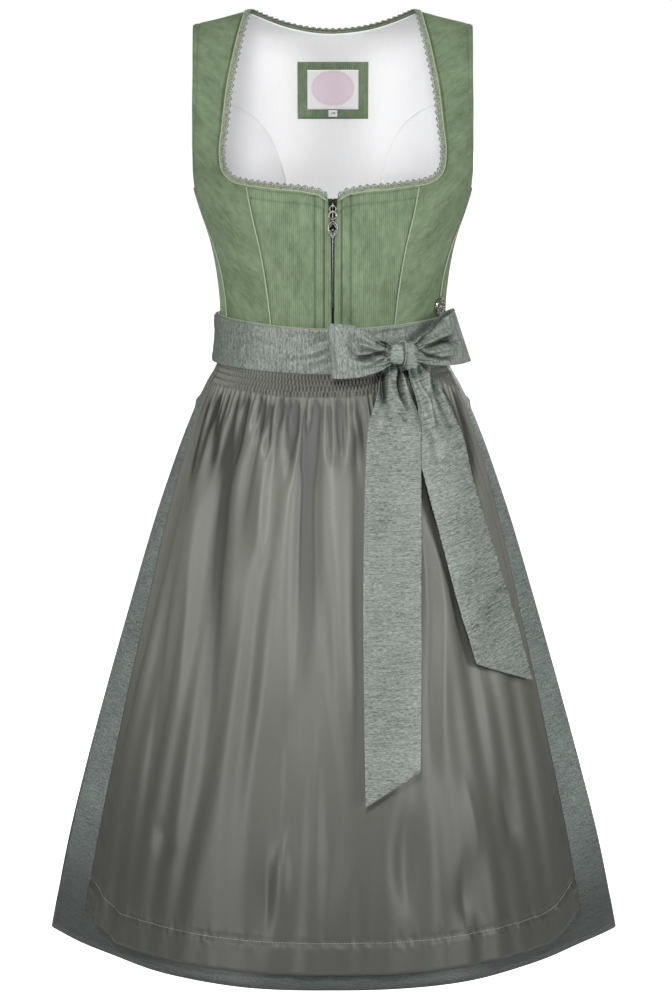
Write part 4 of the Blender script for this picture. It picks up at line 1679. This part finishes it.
apron_lift = smooth_step(-apron_height, 0.6, -APRON_HEM) * (apron_hem_height(apron_around) - APRON_HEM)
apron_top = smooth_step(apron_height, -0.352, -0.345) * (waist_height(apron_around) - 0.003 - APRON_TOP)
apron_down = down_at(apron_height + apron_lift + apron_top)

satin, satin_tree, satin_shader = new_material("taupe_satin", 0.48)
satin_shader.inputs["Specular IOR Level"].default_value = 0.68
satin_cut = cut_place(satin_tree)
satin_thread = stretched_noise(satin_tree, satin_cut, (120, 1500, 1), 2.0)
satin_cloud = stretched_noise(satin_tree, satin_cut, (9, 6, 1), 2.0)
satin_share = off_middle(satin_tree, satin_thread, 0.55, satin_cloud, clamp=True)
satin_colour = colour_mix(satin_tree, satin_share, (0.133, 0.135, 0.114), (0.188, 0.191, 0.163))
satin_colour = hollowed(satin_tree, satin_colour, (0.009, 0.009, 0.007))
paint(satin_tree, satin_shader, satin_colour, satin_thread, 0.25, 0.0002)

apron_points, apron_cut = on_form(apron_around, apron_down, apron_out), cut_on_form(apron_around, apron_down)
apron_made = {"replaces": ["apron"], "held": "gathered", "rests_on": ["skirt_front_cloth"]}
apron_made |= {"fine_rows": APRON_FINE_ROWS, "hollow": np.clip(apron_hollow, 0, 0.9)}
cloth("apron_cloth", apron_points, apron_cut, "satin", APRON_WALL, satin, **apron_made)

HEM_STITCH = (0.0007, 0.0024, 0.0007)
hem_thread = thread_material("taupe_thread", (0.42, 0.41, 0.36), (0.2, 0.2, 0.17))
hem_around = np.linspace(-APRON_HALF_REACH + 0.02, APRON_HALF_REACH - 0.02, 700)
hem_down = down_at(apron_hem_height(hem_around) + APRON_HEM_DEPTH)
hem_out = read_grid(apron_out, apron_rows, apron_columns, APRON_HEM + APRON_HEM_DEPTH, hem_around) + 0.0002
hem_row = path_frames(hem_around, hem_down, hem_out, 0.0036)
repeated("apron_hem_stitches", stitch_item, [hem_row], HEM_STITCH, "dress", "satin", hem_thread)

# ---- Sash ------------------------------------------------------------------------------------------
# The sash is a doubled band of the slubbed cloth, sewn to the apron's top edge and wound once round the
# waist over the bodice seam. It is cut across the slub, so its thick threads stand upright.

SASH_OUT = 0.0062
SASH_WIDTH_SIDE, SASH_WIDTH_FRONT = 0.051, 0.047
SASH_WALL = 0.001
RIBBON_SHADE = 0.12
SASH_CREASE_STRENGTH = 1.8
# Creases are given in tenths of a millimetre: how far out, half the width, and a path of (across, height).
Crease = namedtuple("Crease", "rise half_width path")
SASH_CREASES = rows_of(
    Crease,
    (-16, 28, ((-465, -3760), (-286, -3730), (-127, -3689), (-27, -3649))),
    (10, 26, ((-425, -3719), (-246, -3689), (-47, -3619))),
    (-14, 22, ((-236, -3850), (-127, -3800), (-27, -3760))),
    (-10, 20, ((-206, -3569), (-107, -3533), (-27, -3518))),
    (-11, 30, ((-1061, -3593), (-922, -3549), (-822, -3539), (-723, -3559))),
    (6, 40, ((-1021, -3498), (-803, -3478), (-564, -3528))),
    (-6, 30, ((-484, -3498), (-365, -3488), (-206, -3478))),
    (-7, 30, ((-1200, -3730), (-1001, -3730), (-803, -3760))),
    (-14, 26, ((450, -3468), (589, -3438), (768, -3428), (887, -3388))),
)


def creases_out(creases, across, height):
    """How far hand-placed creases push cloth out, each a path of (across, height) seen from the front."""
    out = np.zeros(np.broadcast(across, height).shape)
    place = np.stack(np.broadcast_arrays(across, height), axis=-1)
    for crease in creases:
        path = evenly_spaced(np.array(crease.path) / 10000, 24)
        steps = np.diff(path, axis=0)
        nearest = np.full(out.shape, np.inf)
        along = np.zeros(out.shape)
        for number, (start, step) in enumerate(zip(path, steps)):
            part = np.clip(((place - start) @ step) / (step @ step), 0, 1)
            away = np.linalg.norm(place - start - part[..., None] * step, axis=-1)
            along = np.where(away < nearest, (number + part) / len(steps), along)
            nearest = np.minimum(away, nearest)
        fade = smooth_step(along, -0.05, 0.15) * (1 - smooth_step(along, 0.75, 1.05))
        out += crease.rise / 10000 * fade * np.exp(-((nearest / (crease.half_width / 10000)) ** 2))
    return out


ribbon_slub = slubbed_material("ribbon_slub", (0.335, 0.385, 0.338), (0.058, 0.071, 0.061))
sash_parts = np.concatenate([[0, 0.012, 0.03, 0.06], np.linspace(0.1, 0.9, 22), [0.94, 0.97, 0.988, 1]])[:, None]
for name, middle in (("sash_front", 0), ("sash_back", 2)):
    around = middle + np.linspace(-1, 1, 190 if middle == 0 else 140) + 0 * sash_parts
    dip = np.where(np.abs(around) < 1, np.cos(math.pi / 2 * around) ** 2, 0)
    width = SASH_WIDTH_SIDE + (SASH_WIDTH_FRONT - SASH_WIDTH_SIDE) * dip
    down = down_at(waist_height(around) + 0.0014 - (width + 0.0022) * sash_parts)
    flat_place = on_form(around, down)
    out = SASH_OUT + 0.0007 * drift(around * 0.06, down, 0.028, 41 + middle)
    out = out + 0.0003 * drift(around * 0.2, down, 0.012, 43)
    if middle == 0:
        out += SASH_CREASE_STRENGTH * creases_out(SASH_CREASES, flat_place[..., 0], flat_place[..., 2])
    out -= 0.0009 * np.exp(-((np.minimum(sash_parts, 1 - sash_parts) * width / 0.0016) ** 2))
    out += groove((1 - sash_parts) * width - 0.0022, 0.0003, 0.0007)
    out = SASH_OUT + 0.0022 * np.tanh((out - SASH_OUT) / 0.0022)
    cut = cut_on_form(around, down)
    cut = np.stack([cut[..., 1], -cut[..., 0]], axis=-1)
    sash_made = {"replaces": [name], "rests_on": ["apron_cloth"] if middle == 0 else [], "hollow": RIBBON_SHADE}
    cloth(f"{name}_cloth", on_form(around, down, out), cut, "ribbon_cloth", SASH_WALL, ribbon_slub, **sash_made)

# ---- Bow -------------------------------------------------------------------------------------------
# The sash's two ends are tied in a bow on the right of the front. Each loop is the flat band doubled
# back on itself and drawn into the knot, and the two ends hang down over the apron, cut on a slant.

LoopRow = namedtuple("LoopRow", "along across depth top bottom")
LEFT_LOOP = rows_of(
    LoopRow,
    (0, 0.0605, -0.1085, -0.356, -0.377), (0.25, 0.042, -0.1165, -0.3455, -0.3865),
    (0.6, 0.02, -0.1215, -0.3345, -0.3905), (1, -0.004, -0.121, -0.3325, -0.392),
)
RIGHT_LOOP = rows_of(
    LoopRow,
    (0, 0.0895, -0.102, -0.354, -0.3755), (0.25, 0.107, -0.0945, -0.341, -0.38),
    (0.6, 0.128, -0.08, -0.327, -0.381), (1, 0.1505, -0.059, -0.3215, -0.379),
)
LEFT_LOOP_CREASES = rows_of(
    Crease,
    (-11, 40, ((274, -3447), (192, -3485), (165, -3572), (203, -3659), (274, -3684))),
    (-24, 26, ((589, -3622), (475, -3657), (360, -3692), (236, -3688))),
    (-32, 16, ((601, -3580), (547, -3522), (494, -3447))),
    (-24, 12, ((605, -3595), (536, -3564), (455, -3518))),
    (-26, 12, ((578, -3530), (536, -3476), (517, -3421))),
    (24, 36, ((574, -3601), (436, -3580), (312, -3541), (245, -3476))),
    (15, 34, ((580, -3678), (436, -3738), (293, -3769))),
    (-18, 18, ((599, -3653), (517, -3723), (408, -3777))),
    (-10, 30, ((522, -3427), (398, -3383), (274, -3363))),
    (8, 20, ((45, -3379), (35, -3591), (64, -3862))),
    (-12, 16, ((436, -3603), (341, -3626), (255, -3611))),
)
RIGHT_LOOP_CREASES = rows_of(
    Crease,
    (-30, 38, ((933, -3518), (1029, -3408), (1143, -3321), (1258, -3282))),
    (26, 30, ((962, -3572), (1086, -3499), (1201, -3452), (1287, -3445))),
    (-20, 28, ((962, -3595), (1105, -3564), (1239, -3530), (1363, -3495))),
    (14, 28, ((991, -3646), (1163, -3634), (1325, -3607))),
    (-18, 16, ((924, -3620), (1048, -3692), (1201, -3734), (1363, -3723))),
    (-26, 12, ((906, -3495), (962, -3421), (994, -3356))),
    (-14, 12, ((918, -3543), (1010, -3506), (1096, -3472))),
    (-12, 22, ((1182, -3518), (1287, -3563), (1392, -3572))),
)
LOOP_OPENING = 0.01
LOOP_WALL = 0.0008
LOOP_CREASE_STRENGTH = 3.4


def bow_loop(name, rows, side, creases, slant, seed):
    """The doubled band, from the knot out along the front, round its fold and back behind."""
    turned = (np.sin(np.linspace(-math.pi / 2, math.pi / 2, 96) * 0.999) * -side)[None, ::-1]
    part = np.concatenate([[0, 0.012, 0.03], np.linspace(0.06, 0.94, 34), [0.97, 0.988, 1]])[:, None]
    along = 1 - turned**2
    table = {key: read_table(rows, key, along) for key in ("across", "depth", "top", "bottom")}
    run_x = read_table(rows, "across", along + 0.01) - read_table(rows, "across", along - 0.01)
    run_y = read_table(rows, "depth", along + 0.01) - read_table(rows, "depth", along - 0.01)
    length = np.maximum(np.hypot(run_x, run_y), 1e-9)
    height = table["top"] + (table["bottom"] - table["top"]) * part
    from_edge = np.minimum(part, 1 - part) * (table["top"] - table["bottom"])
    bend = smooth_step(along, 0.8, 1.0)
    opening = LOOP_OPENING * turned * (1.5 - 0.95 * turned**2)
    behind = smooth_step(-turned, -0.1, 0.1)
    x = table["across"] - opening * (run_y / length) * side
    slanted = (slant[0] * (1 - part) + slant[1] * part) * along**2
    crease = LOOP_CREASE_STRENGTH * creases_out(creases, x + slanted, height + 0 * x) * behind
    hollow = np.clip(-crease / 0.0066, 0, 0.9) ** 1.2
    fan = part - 0.5
    gather = np.sin(fan * 34 + 3 * drift(fan, along, 0.8, seed)) * (1 - smooth_step(along, 0.05, 0.62))
    crease += 0.002 * gather + 0.0005 * drift(x, height, 0.02, seed + 1) * (1 - bend)
    crease += 0.0009 * np.sin(math.pi * part) * (1 - bend)
    crease -= 0.0004 * np.exp(-(((from_edge - 0.003) / 0.0008) ** 2))
    swell = opening + np.where(turned > 0, 1, -1) * crease
    x = table["across"] - swell * (run_y / length) * side + slanted
    y = table["depth"] + swell * (run_x / length) * side
    points = np.stack([x + 0 * height, y + 0 * height, height + 0 * x], axis=-1)
    across_band = np.linalg.norm(np.diff(points[20], axis=0), axis=-1)
    run = np.concatenate([[0], np.cumsum(across_band)])
    cut = np.stack([height + 0 * x, run + 0 * height], axis=-1)
    made = {"replaces": [name], "held": "folded", "hollow": hollow}
    cloth(f"{name}_cloth", points, cut, "ribbon_cloth", LOOP_WALL, ribbon_slub, **made)


bow_loop("bow_loop_left", LEFT_LOOP, -1, LEFT_LOOP_CREASES, (-0.0015, 0.003), 51)
bow_loop("bow_loop_right", RIGHT_LOOP, 1, RIGHT_LOOP_CREASES, (-0.019, 0.0005), 55)

TailRow = namedtuple("TailRow", "left_across left_height right_across right_height out")
LEFT_TAIL = rows_of(
    TailRow,
    (0.053, -0.3715, 0.065, -0.3715, 0.0125), (0.0494, -0.3915, 0.072, -0.3931, 0.0135),
    (0.0433, -0.4196, 0.0809, -0.4216, 0.0165), (0.0347, -0.4516, 0.0872, -0.454, 0.0205),
    (0.0315, -0.5243, 0.0878, -0.5225, 0.021), (0.0304, -0.6277, 0.0879, -0.62, 0.021),
    (0.0316, -0.7415, 0.0881, -0.7237, 0.021), (0.0333, -0.8424, 0.0878, -0.8083, 0.021),
)
RIGHT_TAIL = rows_of(
    TailRow,
    (0.0735, -0.371, 0.0885, -0.371, 0.0095), (0.078, -0.3978, 0.106, -0.3988, 0.0105),
    (0.0871, -0.434, 0.1225, -0.4345, 0.013), (0.083, -0.4637, 0.1328, -0.467, 0.016),
    (0.0905, -0.4981, 0.1411, -0.5034, 0.0165), (0.1078, -0.564, 0.1583, -0.5632, 0.0165),
    (0.1272, -0.6402, 0.1835, -0.6437, 0.0165), (0.146, -0.7035, 0.2077, -0.7336, 0.0165),
)
LEFT_TAIL_CREASES = rows_of(
    Crease,
    (-42, 22, ((676, -3843), (663, -4030), (685, -4193), (731, -4299))),
    (24, 40, ((616, -3831), (574, -3993), (589, -4130), (663, -4255), (750, -4380))),
    (-30, 34, ((509, -3868), (515, -4093), (528, -4280))),
    (-7, 7, ((423, -4360), (503, -4360), (589, -4365))),
    (-18, 30, ((774, -3955), (811, -4080), (836, -4193))),
    (10, 16, ((731, -3906), (787, -4043), (836, -4143))),
    (-8, 20, ((651, -4305), (700, -4380), (750, -4455))),
)
RIGHT_TAIL_CREASES = rows_of(
    Crease,
    (-26, 30, ((1021, -3793), (1034, -3968), (1058, -4143), (1108, -4280))),
    (22, 30, ((947, -3793), (953, -4030), (984, -4317), (1034, -4592))),
    (14, 40, ((1145, -4030), (1231, -4218), (1317, -4417))),
    (-10, 40, ((1083, -4255), (1182, -4417), (1231, -4592))),
    (-7, 10, ((1083, -4879), (1157, -4848), (1231, -4817))),
    (-6, 10, ((1317, -5403), (1404, -5372), (1478, -5341))),
    (-6, 40, ((997, -4517), (1034, -4717), (1058, -4916))),
    (-5, 8, ((1453, -5041), (1527, -5091), (1564, -5178))),
    (-5, 8, ((1330, -5153), (1428, -5129), (1527, -5116))),
    (-4, 8, ((1342, -5453), (1391, -5503), (1441, -5565))),
)
TAIL_WALL = 0.0008
TAIL_CREASE_STRENGTH = 2.5


def bow_tail(name, rows, creases, seed, shade):
    """A hanging end, gathered under the knot and flat below, with turned edges."""
    number = np.linspace(0, len(rows) - 1, 170)[:, None]
    table = {key: read_steps(column(rows, key), number) for key in TailRow._fields}
    share = np.concatenate([[0, 0.015, 0.035, 0.06], np.linspace(0.09, 0.91, 32), [0.94, 0.965, 0.985, 1]])[None, :]
    x = table["left_across"] + (table["right_across"] - table["left_across"]) * share
    z = table["left_height"] + (table["right_height"] - table["left_height"]) * share
    width = np.hypot(table["right_across"] - table["left_across"], table["right_height"] - table["left_height"])
    near_knot = 1 - smooth_step(-z, 0.385, 0.47)
    out = table["out"] + TAIL_CREASE_STRENGTH * creases_out(creases, x, z)
    hollow = np.maximum(np.clip((table["out"] - out) / 0.007, 0, 0.85) ** 1.2, shade)
    out += 0.0026 * near_knot * np.sin((share - 0.5) * 22 + 1.5 * drift(share, z, 0.5, seed))
    out += 0.0007 * drift(share * 0.05, z, 0.06, seed + 1) + 0.0002 * drift(x, z, 0.01, seed + 2)
    edge = np.minimum(share, 1 - share) * width
    out += groove(edge - 0.0035, 0.0003, 0.0008) - 0.0004 * np.exp(-((edge / 0.0012) ** 2))
    down = down_at(z)
    points = on_form(around_at(x, down), down, out)
    lean = math.atan2(points[-1, 20, 0] - points[80, 20, 0], points[80, 20, 2] - points[-1, 20, 2])
    cut = np.stack([x * math.cos(lean) + z * math.sin(lean), z * math.cos(lean) - x * math.sin(lean)], axis=-1)
    made = {"replaces": [name], "held": "hung", "rests_on": ["apron_cloth"], "hollow": hollow}
    cloth(f"{name}_cloth", points, cut, "ribbon_cloth", TAIL_WALL, ribbon_slub, **made)


bow_tail("bow_tail_right", RIGHT_TAIL, RIGHT_TAIL_CREASES, 61, 0.0)
bow_tail("bow_tail_left", LEFT_TAIL, LEFT_TAIL_CREASES, 65, RIBBON_SHADE)

# The knot is two turns of the band: a squarish one on the left, and a taller one wrapped over it on the
# right, whose edge rolls forward.
KNOT_CENTRE = (0.0755, -0.1075, -0.3675)
KNOT_TURN = math.radians(22)


def wrap_part(shift, half_size, tilt_degrees, seed, ribs):
    """A rounded turn of the band with fine creases that run up it: vertices and faces."""
    tilt, turn = np.linspace(0.03, math.pi - 0.03, 34), np.linspace(0, 2 * math.pi, 61)[:-1]
    tilt, turn = np.meshgrid(tilt, turn, indexing="ij")
    square = 0.62
    x, y, z = np.sin(tilt) * np.cos(turn), np.sin(tilt) * np.sin(turn), np.cos(tilt)
    shape = np.stack([np.sign(v) * np.abs(v) ** square for v in (x, y, z)], axis=-1)
    crease = 1 + 0.045 * np.sin(ribs * shape[..., 0] + 1.2 * drift(shape[..., 0], shape[..., 2], 1.6, seed))
    crease = crease + 0.02 * drift(shape[..., 0], shape[..., 2], 0.7, seed + 1)
    local = shape * half_size * crease[..., None]
    lean = math.radians(tilt_degrees)
    u = local[..., 0] * math.cos(lean) + local[..., 2] * math.sin(lean) + shift[0]
    w = local[..., 2] * math.cos(lean) - local[..., 0] * math.sin(lean) + shift[2]
    v = local[..., 1] + shift[1]
    verts = np.stack(
        [
            KNOT_CENTRE[0] + u * math.cos(KNOT_TURN) - v * math.sin(KNOT_TURN),
            KNOT_CENTRE[1] + u * math.sin(KNOT_TURN) + v * math.cos(KNOT_TURN),
            KNOT_CENTRE[2] + w,
        ],
        axis=-1,
    )
    return verts.reshape(-1, 3), ring_faces(*turn.shape, False)


knot_parts = [
    wrap_part((-0.007, -0.0002, 0.0012), (0.0094, 0.008, 0.0112), 2, 81, 5.0),
    wrap_part((0.008, -0.0008, -0.0012), (0.0084, 0.009, 0.0152), -6, 83, 6.5),
]
roll_across = (0.0705, 0.0735, 0.077, 0.079, 0.0795, 0.0788, 0.077)
roll_depth = (-0.1155, -0.1172, -0.1172, -0.117, -0.1168, -0.1164, -0.1152)
roll_height = (-0.3545, -0.3518, -0.352, -0.356, -0.362, -0.37, -0.378)
roll = np.column_stack([read_steps(line, np.linspace(0, 6, 30)) for line in (roll_across, roll_depth, roll_height)])
knot_parts.append(cord_part(roll, 0.0012 * np.sin(np.linspace(0.25, 2.9, 30)) ** 0.5, sides=10))
knot_mesh = mesh_of("bow_knot", knot_parts, recalculate=True)
knot_uv = knot_mesh.uv_layers.new(name="cut")
knot_places = np.empty(len(knot_mesh.vertices) * 3)
knot_mesh.vertices.foreach_get("co", knot_places)
knot_corners = np.empty(len(knot_mesh.loops), np.int32)
knot_mesh.loops.foreach_get("vertex_index", knot_corners)
knot_flat = knot_places.reshape(-1, 3)[knot_corners][:, (0, 2)]
knot_uv.uv.foreach_set("vector", knot_flat.astype(np.float32).ravel())
show("bow_knot_wraps", knot_mesh, "dress", "ribbon_cloth", ribbon_slub, replaces=["bow_knot"])
